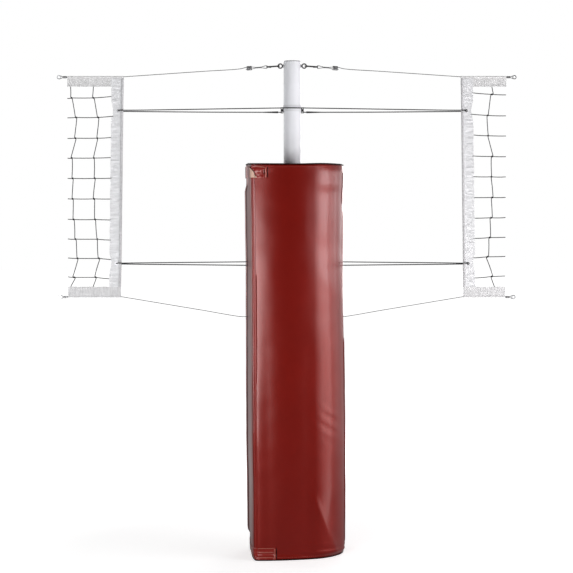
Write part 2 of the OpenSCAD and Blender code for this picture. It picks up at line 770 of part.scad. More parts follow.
module front_pad() color("darkred") pad_half(0, hinge_i, -1);

module rear_pad() color("firebrick") pad_half(hinge_i, plan_n, 1);

// Foam panel in the pad's top, with a half round notch for the mast
module end_panel(first, last, side) {
    z = panel_z + panel_t / 2;
    inside = [for (i = [first:last]) inner_at(i, foam + 2 * fit_gap, z)];
    translate([0, 0, panel_z]) difference() {
        linear_extrude(panel_t) polygon([for (p = inside)
            [p[0], side < 0 ? min(p[1], -seam_gap) : max(p[1], seam_gap)]]);
        translate([0, 0, -past]) cylinder(r = mast_r + 0.5, h = panel_t + 2 * past, $fn = 96);
    }
}

module front_end_panel() color("darkred") end_panel(0, hinge_i, -1);

module rear_end_panel() color("firebrick") end_panel(hinge_i, plan_n, 1);

// Leaves of the vinyl hinge below and above the cable slot
module hinge_leaves(first, last, side) color("maroon")
    for (part = [[60, slot_low - 20], [slot_high + 20, pad_h - 40]]) {
        z = (part[0] + part[1]) / 2;
        translate([0, 0, part[0]]) linear_extrude(part[1] - part[0])
            polygon([for (p = strip(first, last, strap_low, strap_low + vinyl_t, z))
                [p[0], side < 0 ? min(p[1], -seam_gap) : max(p[1], seam_gap)]]);
    }

module front_hinge_leaves() hinge_leaves(hinge_i - 2, hinge_i, -1);

module rear_hinge_leaves() hinge_leaves(hinge_i, hinge_i + 2, 1);

module strap(first, last, low, high, z, h, side) {
    translate([0, 0, z]) linear_extrude(h)
        polygon([for (p = strip(first, last, low, high, z + h / 2))
            [p[0], side < 0 ? min(p[1], -tail_hinge_y) : max(p[1], tail_hinge_y)]]);
}

module top_strap() color("maroon")
    strap(0, ridge_i + 2, strap_low, strap_low + vinyl_t, top_strap_z, top_strap_h, -1);

module bottom_strap() color("maroon")
    strap(0, ridge_i + 3, strap_low, strap_low + vinyl_t, bottom_strap_z, bottom_strap_h, -1);

module top_strap_tail() color("maroon")
    strap(plan_n - 4, plan_n, tail_low, tail_low + vinyl_t, top_strap_z, top_strap_h, 1);

module bottom_strap_tail() color("maroon")
    strap(plan_n - 4, plan_n, tail_low, tail_low + vinyl_t, bottom_strap_z, bottom_strap_h, 1);

module loop_patches() color("black")
    for (s = [[top_strap_z, top_strap_h], [bottom_strap_z, bottom_strap_h]])
        strap(plan_n - 4, plan_n - 1, patch_low, patch_low + patch_t, s[0] + 4, s[1] - 8, 1);

base_plate();
base_tube();
guide_bush();
clamp_collar();
clamp_tip();
clamp_screw();
clamp_knob();
stop_pin();
mast_tube();
slide_bush();
mast_cap();
eye_bolts();
eye_washers();
eye_nuts();
at_eye(-1, "top") snap_hook();  // top_left_snap
at_eye(1, "top") snap_hook();  // top_right_snap
at_eye(-1, "bottom") snap_hook();  // bottom_left_snap
at_eye(1, "bottom") snap_hook();  // bottom_right_snap
at_eye(-1, "top") snap_gate();  // top_left_gate
at_eye(1, "top") snap_gate();  // top_right_gate
at_eye(-1, "bottom") snap_gate();  // bottom_left_gate
at_eye(1, "bottom") snap_gate();  // bottom_right_gate
cable(-1, "top");  // top_left_cable
cable(1, "top");  // top_right_cable
cable(-1, "bottom");  // bottom_left_cable
cable(1, "bottom");  // bottom_right_cable
pole_sleeves();
end_sleeves();
end_thimbles();
upper_band();
lower_band();
rope_lugs();
rope_hooks();
upper_rope();
lower_left_rope();
lower_right_rope();
left_net();
right_net();
tape(-1, "top");  // left_top_tape
tape(1, "top");  // right_top_tape
tape(-1, "bottom");  // left_bottom_tape
tape(1, "bottom");  // right_bottom_tape
left_hem();
right_hem();
dowels();
grommets();
front_pad();
rear_pad();
front_end_panel();
rear_end_panel();
front_hinge_leaves();
rear_hinge_leaves();
top_strap();
bottom_strap();
top_strap_tail();
bottom_strap_tail();
loop_patches();
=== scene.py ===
# Padded volleyball post with its net cables, tension ropes and the ends of both nets
import bpy
import bmesh
from math import sin, cos, pi, radians, atan2, hypot, exp, sqrt
from mathutils import Vector, Matrix, noise


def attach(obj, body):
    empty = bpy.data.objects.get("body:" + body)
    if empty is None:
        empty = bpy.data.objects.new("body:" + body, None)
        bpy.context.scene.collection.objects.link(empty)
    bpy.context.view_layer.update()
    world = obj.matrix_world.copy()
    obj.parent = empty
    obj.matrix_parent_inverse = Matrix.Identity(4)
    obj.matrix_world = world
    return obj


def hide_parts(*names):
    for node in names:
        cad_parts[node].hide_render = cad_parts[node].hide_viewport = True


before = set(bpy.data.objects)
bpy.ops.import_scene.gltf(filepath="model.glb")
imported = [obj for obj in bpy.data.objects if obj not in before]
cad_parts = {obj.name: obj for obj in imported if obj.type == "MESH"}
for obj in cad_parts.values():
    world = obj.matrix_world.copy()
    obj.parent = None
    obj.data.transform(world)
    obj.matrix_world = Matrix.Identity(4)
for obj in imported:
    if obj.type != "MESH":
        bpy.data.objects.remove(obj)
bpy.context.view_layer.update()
print("frame loaded:", len(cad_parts), "nodes")


# camera
view = {"place": (-0.0269, -7.569, 1.4977), "downTilt": 1.852, "lens": 101.03, "sensor": 36}


def placed(name, data):  # an object in the scene
    made = bpy.data.objects.new(name, data)
    bpy.context.collection.objects.link(made)
    return made


cameraData = bpy.data.cameras.new("camera")
cameraData.lens = view["lens"]
cameraData.sensor_width = view["sensor"]
camera = placed("camera", cameraData)
camera.location = view["place"]
camera.rotation_euler = (radians(90 - view["downTilt"]), 0, 0)
bpy.context.scene.camera = camera
bpy.context.scene.view_settings.view_transform = "Standard"


def evenly(first, last, steps):
    return [first + (last - first) * k / steps for k in range(steps + 1)]


def smooth(t):
    t = min(1, max(0, t))
    return t * t * (3 - 2 * t)


def bump(x, middle, reach):
    return exp(-((x - middle) / reach) ** 2)


def soft(x, y, z, size):  # smooth noise from -1 to 1, with lumps of about that size in mm
    return noise.noise(Vector((x / size, y / size, z / size)))


def add(tree, kind, settings=None, **sockets):  # a node, its settings and what goes into its sockets
    node = tree.nodes.new("ShaderNode" + kind)
    for key, value in (settings or {}).items():
        setattr(node, key, value)
    for key, value in sockets.items():
        numbered = key[0] == "i" and key[1:].isdigit()
        socket = node.inputs[int(key[1:]) if numbered else key.replace("_", " ")]
        if isinstance(value, bpy.types.NodeSocket):
            tree.links.new(value, socket)
        else:
            socket.default_value = value
    return node


def largest(tree, a, b):
    return add(tree, "Math", {"operation": "MAXIMUM"}, i0=a, i1=b).outputs[0]


def noiseAt(tree, place, scale, detail=2.0, stretch=None, **sockets):
    if stretch:
        place = add(tree, "Mapping", Vector=place, Scale=stretch).outputs[0]
    return add(tree, "TexNoise", Vector=place, Scale=scale, Detail=detail, **sockets).outputs["Fac"]


def wavesAt(tree, place, direction, scale, **sockets):
    waves = add(tree, "TexWave", {"bands_direction": direction}, Vector=place, Scale=scale, **sockets)
    return waves.outputs["Fac"]


def weighted(tree, a, share, b):
    return add(tree, "Math", {"operation": "MULTIPLY_ADD"}, i0=a, i1=share, i2=b).outputs[0]


# a material whose shader has those sockets set, its tree and both coordinates
def newFinish(name, **sockets):
    made = bpy.data.materials.new(name)
    made.use_nodes = True
    tree = made.node_tree
    shader = tree.nodes["Principled BSDF"]
    for key, value in sockets.items():
        shader.inputs[key.replace("_", " ")].default_value = value
    places = tree.nodes.new("ShaderNodeTexCoord").outputs
    return made, tree, places["Object"], places["UV"]


def into(tree, output, socket):  # feeds one of the shader's sockets
    tree.links.new(output, tree.nodes["Principled BSDF"].inputs[socket])


def blendColours(tree, fac, dark, light, low=0.3, high=0.7):
    ramp = add(tree, "ValToRGB", Fac=fac)
    for stop, position, colour in zip(ramp.color_ramp.elements, (low, high), (dark, light)):
        stop.position, stop.color = position, (*colour, 1)
    into(tree, ramp.outputs["Color"], "Base Color")


def roughen(tree, fac, low, high):
    spread = add(tree, "MapRange", Value=fac, To_Min=low, To_Max=high)
    into(tree, spread.outputs[0], "Roughness")


def relief(tree, height, strength, distance, under=None):
    below = {"Normal": under} if under else {}
    raised = add(tree, "Bump", Height=height, Strength=strength, Distance=distance, **below).outputs[0]
    into(tree, raised, "Normal")
    return raised


def painted(name, dark, light, rough, peel, peelSize, coat=0.0):
    made, tree, place, _ = newFinish(name, Coat_Weight=coat, Coat_Roughness=0.2)
    spread = noiseAt(tree, place, 9.0, 5.0)
    blendColours(tree, spread, dark, light)
    roughen(tree, spread, rough - 0.06, rough + 0.06)
    relief(tree, noiseAt(tree, place, peelSize), peel, 0.0004)
    return made


def zinced(name, dark, light, rough, grain=70.0):
    made, tree, place, _ = newFinish(name, Metallic=1.0)
    flakes = add(tree, "TexVoronoi", Vector=place, Scale=grain).outputs["Color"]
    blendColours(tree, flakes, dark, light, 0.2, 0.8)
    roughen(tree, flakes, rough - 0.08, rough + 0.1)
    relief(tree, noiseAt(tree, place, 420.0, 3.0), 0.2, 0.0003)
    return made


def crimped(name, dark, light):  # sleeve pressed in bands across its length
    made, tree, place, _ = newFinish(name, Metallic=1.0)
    bands = wavesAt(tree, place, "X", 38.0, Distortion=0.4)
    blendColours(tree, bands, dark, light, 0.1, 0.9)
    scratches = noiseAt(tree, place, 160.0, stretch=(1, 12, 12))
    roughen(tree, scratches, 0.32, 0.5)
    under = relief(tree, bands, 0.6, 0.0009)
    relief(tree, scratches, 0.15, 0.0003, under)
    return made


# coated cloth: pebbled, with the weave showing as faint lines
def vinyl(name, dark, light, rough=0.42, grain=0.3, gloss=0.8, coat=0.58):
    made, tree, place, _ = newFinish(name, Specular_IOR_Level=gloss, Specular_Tint=(1, 0.10, 0.07, 1),
        Coat_Weight=coat, Coat_Roughness=0.2)
    patches = noiseAt(tree, place, 4.0, 6.0, Roughness=0.6)
    blendColours(tree, patches, dark, light)
    roughen(tree, patches, rough + 0.04, rough - 0.03)
    pebbles = add(tree, "TexVoronoi", {"feature": "SMOOTH_F1"}, Vector=place, Scale=520.0)
    under = relief(tree, pebbles.outputs["Distance"], grain, 0.00013)
    lines = noiseAt(tree, place, 1.0, 3.0, (5, 5, 95))
    under = relief(tree, lines, 0.22, 0.0011, under)
    creases = noiseAt(tree, place, 1.3, 4.0, (7, 7, 16), Distortion=0.4)
    relief(tree, creases, 0.3, 0.002, under)
    return made


# plain weave from the piece's own UV, in metres
def cloth(name, dark, light, thread=0.0011, puckers=0.35, sheen=0.15):
    made, tree, _, own = newFinish(name, Roughness=0.85, Sheen_Weight=sheen, Sheen_Roughness=0.5,
        Specular_IOR_Level=0.25)
    turns = 0.157 / thread  # a wave is 0.314 / Scale long and spans two threads
    woven = largest(tree, *(wavesAt(tree, own, axis, turns, Distortion=0.6, Detail=1.0) for axis in "XY"))
    clouds = noiseAt(tree, own, 60.0, 5.0, (0.35, 1.6, 1))
    blendColours(tree, weighted(tree, woven, 0.3, clouds), dark, light, 0.45, 0.95)
    under = relief(tree, woven, 0.5, 0.0004)
    relief(tree, clouds, puckers, 0.003, under)
    return made


def corded(name, dark, light, rough=0.75, metallic=0.0, gloss=0.3):
    made, tree, place, own = newFinish(name, Metallic=metallic, Specular_IOR_Level=gloss)
    fibres = noiseAt(tree, own, 2.0, 4.0, (1.5, 900, 1))
    dust = noiseAt(tree, place, 40.0, 3.0)
    blendColours(tree, weighted(tree, fibres, 0.5, dust), dark, light, 0.5, 1.0)
    roughen(tree, fibres, rough - 0.12, rough + 0.12)
    relief(tree, fibres, 0.3, 0.0003)
    return made


def wooden(name, dark, light):
    made, tree, place, _ = newFinish(name, Coat_Weight=0.1)
    grain = noiseAt(tree, place, 1.0, 6.0, (220, 220, 7))
    blendColours(tree, grain, dark, light, 0.35, 0.65)
    roughen(tree, grain, 0.4, 0.6)
    relief(tree, grain, 0.25, 0.0004)
    return made


finish = {
    "post": painted("whitePaint", (0.76, 0.77, 0.80), (0.81, 0.82, 0.86), 0.42, 0.12, 300, 0.1),
    "band": painted("bandPaint", (0.66, 0.67, 0.70), (0.72, 0.73, 0.76), 0.45, 0.15, 300),
    # dark grey cap: painted shade under the cap's edge
    "cap": painted("capPlasticShade", (0.34, 0.34, 0.35), (0.42, 0.42, 0.43), 0.5, 0.2, 500),
    "pale": painted("palePlastic", (0.68, 0.67, 0.62), (0.76, 0.75, 0.71), 0.5, 0.2, 500),
    "anchor": painted("anchorPaint", (0.030, 0.032, 0.036), (0.045, 0.048, 0.053), 0.4, 0.6, 120),
    "hookBlack": painted("dippedBlack", (0.007, 0.007, 0.008), (0.014, 0.014, 0.015), 0.42, 0.3, 220),
    "knob": painted("knobBlack", (0.012, 0.012, 0.013), (0.020, 0.020, 0.021), 0.55, 0.35, 600),
    "dark": zinced("darkSteel", (0.055, 0.053, 0.054), (0.095, 0.092, 0.094), 0.42, 160.0),
    "zinc": zinced("galvanisedSteel", (0.42, 0.43, 0.45), (0.60, 0.61, 0.63), 0.42),
    "eyelet": zinced("eyeletSteel", (0.30, 0.30, 0.31), (0.42, 0.42, 0.43), 0.4, 200.0),
    "sleeve": crimped("crimpedAlloy", (0.22, 0.22, 0.225), (0.38, 0.38, 0.39)),
    "vinyl": vinyl("redVinyl", (0.105, 0.0018, 0.0006), (0.128, 0.0028, 0.0012)),
    # lighter than the pad's vinyl, so the ridge welt carries a painted highlight along the ridge
    "welt": vinyl("weltHighlightVinyl", (0.17, 0.010, 0.008), (0.22, 0.015, 0.012), 0.44, 0.2, 0.6),
    # near-black vinyl: the edge bindings and seam piping also paint the shade along the pad's edges and seam,
    # and the dark tubes at the strap ends, in the strap groove and beside the turned fold are painted shadow
    "bindingAndShade": vinyl("bindingAndShadeVinyl", (0.008, 0.0018, 0.0016), (0.016, 0.0026, 0.0022), 0.45, 0.2, 0.1, 0.1),
    "strap": vinyl("strapVinyl", (0.145, 0.0065, 0.0045), (0.185, 0.010, 0.007), 0.44, 0.5, 0.6),
    # lighter vinyl on the strap borders, hem and ribs: painted highlight on their raised edges
    "trim": vinyl("highlightTrimVinyl", (0.26, 0.075, 0.055), (0.40, 0.15, 0.115), 0.44, 0.4, 0.6),
    # beige cloth of the turned strap corner, which also paints the highlight on the bend
    "backingAndHighlight": cloth("vinylBackingAndHighlight", (0.50, 0.33, 0.25), (0.66, 0.46, 0.37), 0.0014, 0.2),
    "loops": cloth("loopPile", (0.010, 0.010, 0.011), (0.03, 0.03, 0.032), 0.0016, 0.8, 0.6),
    "tape": cloth("tapeCloth", (0.60, 0.60, 0.605), (0.80, 0.80, 0.805)),
    "bottomTape": cloth("bottomTapeCloth", (0.55, 0.55, 0.56), (0.76, 0.76, 0.77)),
    "hem": cloth("hemCloth", (0.64, 0.645, 0.66), (0.86, 0.865, 0.885)),
    # darker than the hem cloth: painted shade along the dowel pocket
    "pocket": cloth("pocketShadeCloth", (0.50, 0.50, 0.515), (0.64, 0.64, 0.655)),
    "wire": corded("wireRope", (0.09, 0.09, 0.095), (0.17, 0.17, 0.175), 0.6, 0.2, 0.2),
    "rope": corded("blackRope", (0.006, 0.006, 0.007), (0.018, 0.018, 0.020)),
    "string": corded("netCord", (0.008, 0.008, 0.010), (0.024, 0.024, 0.027), 0.8),
    "redThread": corded("redThread", (0.30, 0.075, 0.06), (0.42, 0.12, 0.10)),
    "wood": wooden("birch", (0.40, 0.28, 0.16), (0.56, 0.42, 0.27)),
}
print("finishes ready:", len(finish))


# mesh helpers; every shape is in mm until it is kept


def nodeOf(name):  # the node that a piece of that name stands in for
    return "".join("_" + c.lower() if c.isupper() else c for c in name)


def keep(bm, name, material, body="post", replaces=(), sharp=40):
    mesh = bpy.data.meshes.new(name)
    bmesh.ops.scale(bm, vec=(0.001, 0.001, 0.001), verts=bm.verts)
    bm.to_mesh(mesh)
    bm.free()
    mesh.shade_smooth()
    mesh.set_sharp_from_angle(angle=radians(sharp))
    piece = placed(name, mesh)
    for one in material.split():
        mesh.materials.append(finish[one])
    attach(piece, body)
    if replaces:
        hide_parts(*replaces)
    return piece


def loft(rings, bm=None):  # rings of the same number of points, joined in turn and closed at both ends
    bm = bm or bmesh.new()
    uv = bm.loops.layers.uv.verify()
    whole = bm.verts.layers.int
    index, level = (whole.get(name) or whole.new(name) for name in ("index", "level"))
    count = len(rings[0])
    start = [bm.verts.new(p) for p in rings[0]]
    for i, vert in enumerate(start):
        vert[index] = i
    edges = [bm.edges.new((start[i], start[(i + 1) % count])) for i in range(count)]
    ends, faces = [edges], []
    for k, ring in enumerate(rings[1:], 1):
        made = bmesh.ops.extrude_edge_only(bm, edges=edges)["geom"]
        for vert in (g for g in made if isinstance(g, bmesh.types.BMVert)):
            vert.co = ring[vert[index]]
            vert[level] = k
        faces += [g for g in made if isinstance(g, bmesh.types.BMFace)]
        edges = [g for g in made if isinstance(g, bmesh.types.BMEdge) and all(v[level] == k for v in g.verts)]
    ends.append(edges)
    unwrap(faces, rings, uv, index, level)
    for rim in ends:
        bmesh.ops.triangle_fill(bm, use_beauty=True, edges=rim)
    bmesh.ops.recalc_face_normals(bm, faces=bm.faces)
    return bm


def unwrap(faces, rings, uv, index, level):  # UV in metres, round the widest ring and along the loft
    count = len(rings[0])
    some = rings[:: max(1, len(rings) // 5)]
    widest = max(some, key=lambda r: sum((Vector(r[i]) - Vector(r[i - 1])).length for i in range(count)))
    across, along = [0.0], [0.0]
    for i in range(count):
        across.append(across[-1] + (Vector(widest[(i + 1) % count]) - Vector(widest[i])).length / 1000)
    for last, ring in zip(rings, rings[1:]):
        middle = sum((Vector(p) for p in ring), Vector()) - sum((Vector(p) for p in last), Vector())
        firstRun = (Vector(ring[0]) - Vector(last[0])).length
        along.append(along[-1] + max(middle.length / count, firstRun * 0.5) / 1000)
    for face in faces:
        atSeam = {v[index] for v in face.verts} >= {0, count - 1}
        for loop in face.loops:
            i = loop.vert[index]
            loop[uv].uv = (across[count if atSeam and i == 0 else i], along[loop.vert[level]])


def curveThrough(points, step):  # even points on a smooth line through the given ones
    pts = [Vector(p) for p in points]
    pts = [pts[0] * 2 - pts[1]] + pts + [pts[-1] * 2 - pts[-2]]
    out = [pts[1]]
    for a, b, c, d in zip(pts, pts[1:], pts[2:], pts[3:]):
        t0, t1 = 0.0, sqrt((b - a).length)
        t2 = t1 + sqrt((c - b).length)
        t3 = t2 + sqrt((d - c).length)
        parts = max(1, round((c - b).length / step))
        for k in range(1, parts + 1):
            t = t1 + (t2 - t1) * k / parts
            runs = ((a, b, t0, t1), (b, c, t1, t2), (c, d, t2, t3))
            ab, bc, cd = (p.lerp(q, (t - u) / (v - u)) for p, q, u, v in runs)
            before, after = ab.lerp(bc, (t - t0) / (t2 - t0)), bc.lerp(cd, (t - t1) / (t3 - t1))
            out.append(before.lerp(after, (t - t1) / (t2 - t1)))
    return out


def lengthOf(points):
    return sum((b - a).length for a, b in zip(points, points[1:]))


def tube(points, section, bm=None):
    # section(distance along, share of the way) gives angles with their radii; the frame doesn't roll
    rings, side = [], None
    done = 0.0
    total = lengthOf(points)
    for k, p in enumerate(points):
        ahead = (points[min(k + 1, len(points) - 1)] - points[max(k - 1, 0)]).normalized()
        if side is None:
            side = ahead.orthogonal().normalized()
        side = (side - ahead * side.dot(ahead)).normalized()
        other = ahead.cross(side)
        if k:
            done += (p - points[k - 1]).length
        rings.append([p + r * (cos(a) * side + sin(a) * other) for a, r in section(done, done / total)])
    return loft(rings, bm)


def anglesOf(sides):
    return [2 * pi * i / sides for i in range(sides)]


def plainSection(radius, sides):
    return lambda done, share: [(a, radius) for a in anglesOf(sides)]


def ridgedSection(radius, pitch, sides, deep, ridge):  # ridges that turn round once in each pitch
    def section(done, share):
        turn = 2 * pi * done / pitch
        return [(a, radius * (1 - deep + deep * ridge(a, turn))) for a in anglesOf(sides)]
    return section


def laidSection(radius, strands, pitch, sides):  # strands laid round each other
    return ridgedSection(radius, pitch, sides, 0.14,
        lambda a, turn: abs(cos(strands * (a - turn) / 2)) ** 0.7)


def braidSection(radius, strands, pitch, sides):
    return ridgedSection(radius, pitch, sides, 0.07,
        lambda a, turn: sin(strands * a + turn) * sin(strands * a - turn))


def stitch(bm, middle, along, out, length, width):  # one thread that dips in at both ends
    across = along.cross(out).normalized()
    rings = []
    for share in (-0.5, -0.3, 0, 0.3, 0.5):
        r = width / 2 * (1 - 1.2 * share * share)
        at = middle + along * share * length + out * (r * 0.5 - 2.2 * width * share * share)
        rings.append([at + r * (cos(a) * across + sin(a) * out) for a in anglesOf(6)])
    loft(rings, bm)


def stitchLine(bm, points, outs, length, gap, width):
    pitch, left = length + gap, gap
    for a, b, out in zip(points, points[1:], outs):
        run = (b - a).length
        if run < 1e-6:  # both points lie in one place
            continue
        along = (b - a) / run
        at = left
        while at < run:
            stitch(bm, a + along * at, along, out, length, width)
            at += pitch
        left = at - run


# cables and ropes
cables = {
    "diameter": 3.2, "eyeX": 56.0, "eyeZ": (2287.0, 1080.0), "corner": ((790.0, 2236.8), (806.0, 1205.2)),
    "ends": {-1: 1055.0, 1: 1003.0}, "loop": 6.4, "loopAt": 65.7, "waist": 1.9, "spread": 4.4, "neck": 24,
    "mouth": 16, "sleeve": (134.0, 158.0), "tail": 4.0, "farSleeve": 16.0, "farLoop": 20.0, "groove": 8.4,
    "lay": 26.0}
ropes = {
    "diameter": 5.0, "upper": 2080.0, "lower": 1361.0, "shankEnd": 134.05, "lug": 9.0, "front": 44.8,
    "turn": 9.65, "grommetIn": 24.0, "spread": 60.0, "braid": 15.0}
net = {"top": 2240.0, "bottom": 1202.0, "innerTop": 790.0, "innerBottom": 806.0}
sides = ((-1, "left"), (1, "right"))


def hemX(z):
    down = net["top"] - z
    return net["innerTop"] + (net["innerBottom"] - net["innerTop"]) * down / (net["top"] - net["bottom"])


def arc(x, z, radius, first, step, count):  # points round (x, z), from an angle in degrees
    angles = [radians(first + step * k) for k in range(count)]
    return [(x + radius * cos(a), 0, z + radius * sin(a)) for a in angles]


def cableRoute(level, end):  # from the snap hook, round its thimble, through the sleeve and along the net
    c = cables
    (cornerX, z), eyeZ = c["corner"][level], c["eyeZ"][level]
    slope = atan2(z - eyeZ, cornerX - c["eyeX"])
    far = hypot(z - eyeZ, cornerX - c["eyeX"])
    low, high = c["sleeve"]
    waist, spread, neck, mouth = c["waist"], c["spread"], c["loopAt"] + c["neck"], low - c["mouth"]

    def beside(u, w):
        return (c["eyeX"] + u * cos(slope) - w * sin(slope), 0, eyeZ + u * sin(slope) + w * cos(slope))

    near = [(high + c["tail"], -spread), (low - 2, -spread), (mouth, -waist), (neck, -waist)]
    turn = [(c["loopAt"] + x, w) for x, _, w in arc(0, 0, c["loop"], -90, -22.5, 9)]
    back = [(neck, waist), (mouth, waist), (low - 2, spread), (high + 2, spread), (high + 30, 0),
        (far * 0.5, 0), (far - 20, 0), (far - 2, 0)]
    out = end + 3 + c["farSleeve"]
    tape = [(cornerX + 2, 0, z), (cornerX + 20, 0, z), (end, 0, z), (out, 0, z)]
    loop = arc(out + c["farLoop"], z - waist, c["groove"], 110, -22, 11)
    home = [(x, 0, z - 2 * waist) for x in (out, end + 1)]
    return [beside(*p) for p in near + turn + back] + tape + loop + home


def mirrored(points, side):
    return [(side * p[0], *p[1:]) for p in points]


def layCord(name, points, section, step, material, nodes):
    line = curveThrough(points, step)
    cord = keep(tube(line, section), name, material, "mast", nodes)


wireLay = laidSection(cables["diameter"] / 2, 6, cables["lay"], 18)
for side, sideName in sides:
    for level, levelName in enumerate(("top", "bottom")):
        route = mirrored(cableRoute(level, cables["ends"][side]), side)
        layCord(f"{sideName}{levelName.title()}Cable", route, wireLay, 2.6, "wire",
            [f"{levelName}_{sideName}_cable"])


def ropeTurn(z, slope):  # the half turn through the hem's grommet
    x, turn = hemX(z) + ropes["grommetIn"] - ropes["turn"], ropes["turn"]
    angles = [radians(a) for a in range(-90, 91, 18)]
    return [(x + turn * cos(a), turn * sin(a), z - slope * sin(a)) for a in angles]


def upperHalf():
    z, r = ropes["upper"], ropes
    nearHem, halfway, front = hemX(z) - r["spread"], hemX(z) * 0.5, -r["front"]
    out = [(18, front, z + 8), (90, front + 3, z + 7.4), (halfway, -25, z + 4)]
    out.append((nearHem, -r["turn"] - 2.5, z))
    back = [(nearHem, r["turn"] - 1, z - 5), (halfway, 4, z - 8), (r["shankEnd"], 0, z - r["lug"])]
    return out + ropeTurn(z - 2, 2) + back


def lowerHalf():
    z, r = ropes["lower"], ropes
    nearHem = hemX(z) - r["spread"]
    out = [(r["shankEnd"], 0, z + r["lug"]), (nearHem, 1 - r["turn"], z + 3)]
    back = [(nearHem, r["turn"] - 1, z - 3), (r["shankEnd"], 0, z - r["lug"])]
    return out + ropeTurn(z, 2) + back


def layRope(name, points, node):
    braid = braidSection(ropes["diameter"] / 2, 4, ropes["braid"], 16)
    layCord(name, points, braid, 2.2, "rope", [node])


upper = upperHalf()
middle = [(0, -ropes["front"], ropes["upper"] + 8)]
layRope("upperRope", mirrored(upper, -1)[::-1] + middle + upper, "upper_rope")
for side, sideName in sides:
    layRope(f"{sideName}LowerRope", mirrored(lowerHalf(), side), f"lower_{sideName}_rope")
print("cables and ropes done")


# the pad: rings round a plan, lofted upwards
pad = {
    "height": 1823.0, "hingeX": 240.0, "flare": 0.047, "foam": 55.0, "edge": 12.0, "rim": 36, "seamGap": 0.5,
    "slotHalf": 16.0, "slotLow": 1030.0, "slotHigh": 1620.0, "slotClose": 40.0, "seamReach": 50.0}
seam = (-184, 0)
spans = {  # from the seam round the pad: two handles, the end and the number of steps of each curve
    "leftFace": ((-192, -80), (-182, -175), (-170, -220), 18),
    "ridge": ((-168, -227), (-163, -231), (-155, -232), 6),
    "frontFace": ((-70, -232), (40, -212), (110, -186), 34),
    "rightFront": ((185, -156), (240, -75), (240, 0), 26),
    "rightRear": ((240, 115), (125, 222), (0, 222), 30),
    "leftRear": ((-105, 222), (-190, 140), (-197, 50), 30),
    "seamReturn": ((-199, 28), (-190, 8), seam, 10)}
form = {  # how the stuffed surface stands off that plan
    "lumps": ((1.3, 210, 0), (0.6, 70, 900)), "rollDeep": 17, "rollAt": -163, "rollWidth": 75,
    "lowFrom": 1500, "lowOver": 1000, "rightSwell": 14, "leftSwell": 6.5, "sideFrom": 60, "leftFrom": -100,
    "waistDeep": 3, "waistAt": 1480, "waistReach": 190, "topSwell": 3, "topFrom": 1680, "lip": 11,
    "lipReach": 62, "lipLow": 62, "lipHigh": 1742, "foldHigh": 6.5, "foldX": 128, "foldZ": 221,
    "foldLean": 0.335, "foldInside": 55, "foldOutside": 17, "foldTop": 330, "creaseHigh": 1.1, "creaseZ": 640,
    "creaseX": 165, "puckerHigh": 1.6, "puckerTop": 90, "flatReach": 72, "flatLow": 66, "flatHigh": 1742,
    "rightRise": 4, "leftRise": 8, "riseFrom": 1600, "riseOver": 200}


def bezier(a, b, c, d, t):
    s = 1 - t
    weights = (s * s * s, 3 * s * s * t, 3 * s * t * t, t * t * t)
    return [sum(weight * p[j] for weight, p in zip(weights, (a, b, c, d))) for j in (0, 1)]


plan, corner = [], seam
for firstHandle, lastHandle, end, steps in spans.values():
    plan += [bezier(corner, firstHandle, lastHandle, end, k / steps) for k in range(steps)]
    corner = end
ridgeAt = spans["leftFace"][3]
frontAt = ridgeAt + spans["ridge"][3]
hingeAt = frontAt + spans["frontFace"][3] + spans["rightFront"][3]
seamAt = len(plan)
halves = (("front", 0, hingeAt, -1, "post"), ("rear", hingeAt, seamAt, 1, "rear_half"))


def around(i):
    a, b = plan[int(i // 1) % seamAt], plan[int(i // 1 + 1) % seamAt]
    return Vector((a[0] + (b[0] - a[0]) * (i % 1), a[1] + (b[1] - a[1]) * (i % 1), 0))


def outwardAt(i):
    d = around(i + 1) - around(i - 1)
    return Vector((d.y, -d.x, 0)).normalized()


def flared(p, z):  # the plan grows towards the top, whose right side and left rear stand higher
    right = form["rightRise"] * smooth((p.x - 20) / 140)
    leftRear = form["leftRise"] * smooth((-p.x - 150) / 30) * smooth((p.y + 220) / 170)
    p.x = pad["hingeX"] - (pad["hingeX"] - p.x) * (1 + pad["flare"] * z / pad["height"])
    p.z = z + (right + leftRear) * smooth((z - form["riseFrom"]) / form["riseOver"])
    return p


def rightCrown(p, z, low):  # full at the bottom, with a slight waist under the top
    waist = form["waistDeep"] * bump(z, form["waistAt"], form["waistReach"])
    top = form["topSwell"] * smooth((z - form["topFrom"]) / 60)
    aside = smooth((abs(p.y) - 4) / 42)
    return aside * smooth((p.x - form["sideFrom"]) / 140) * (form["rightSwell"] * low - waist + top)


def leftCrown(p, z, low):  # both halves stand up beside the open seam
    swell = form["leftSwell"] * low * smooth((form["leftFrom"] - p.x) / 70)
    lip = form["lip"] * bump(p.y, 2, form["lipReach"])
    return swell, lip * smooth((form["lipHigh"] - z) / 50) * smooth((z - form["lipLow"]) / 50)


def cornerFold(p, z):  # the slanting fold at the bottom right, and a few short creases above it
    side = smooth((p.x - form["sideFrom"]) / 60)
    run = p.x - form["foldX"] - (form["foldZ"] - z) * form["foldLean"]
    fade = smooth((form["foldTop"] - z) / 140)
    slope = run / form["foldInside"] if run < 0 else -run / form["foldOutside"]
    fold = side * fade * form["foldHigh"] * exp(slope)
    creases = form["creaseHigh"] * sin((z * 0.72 + p.x * 0.55) / 6.5)
    return fold, creases * bump(z, form["creaseZ"], 70) * bump(p.x, form["creaseX"], 36)


def hemPuckers(p, z):
    fade = smooth((form["puckerTop"] - z) / 50)
    wave = form["puckerHigh"] * sin(z / 5.2 + p.x / 60)
    return wave * fade * (0.4 + 0.6 * smooth((p.x + 40) / 120)) * smooth(z / 12)


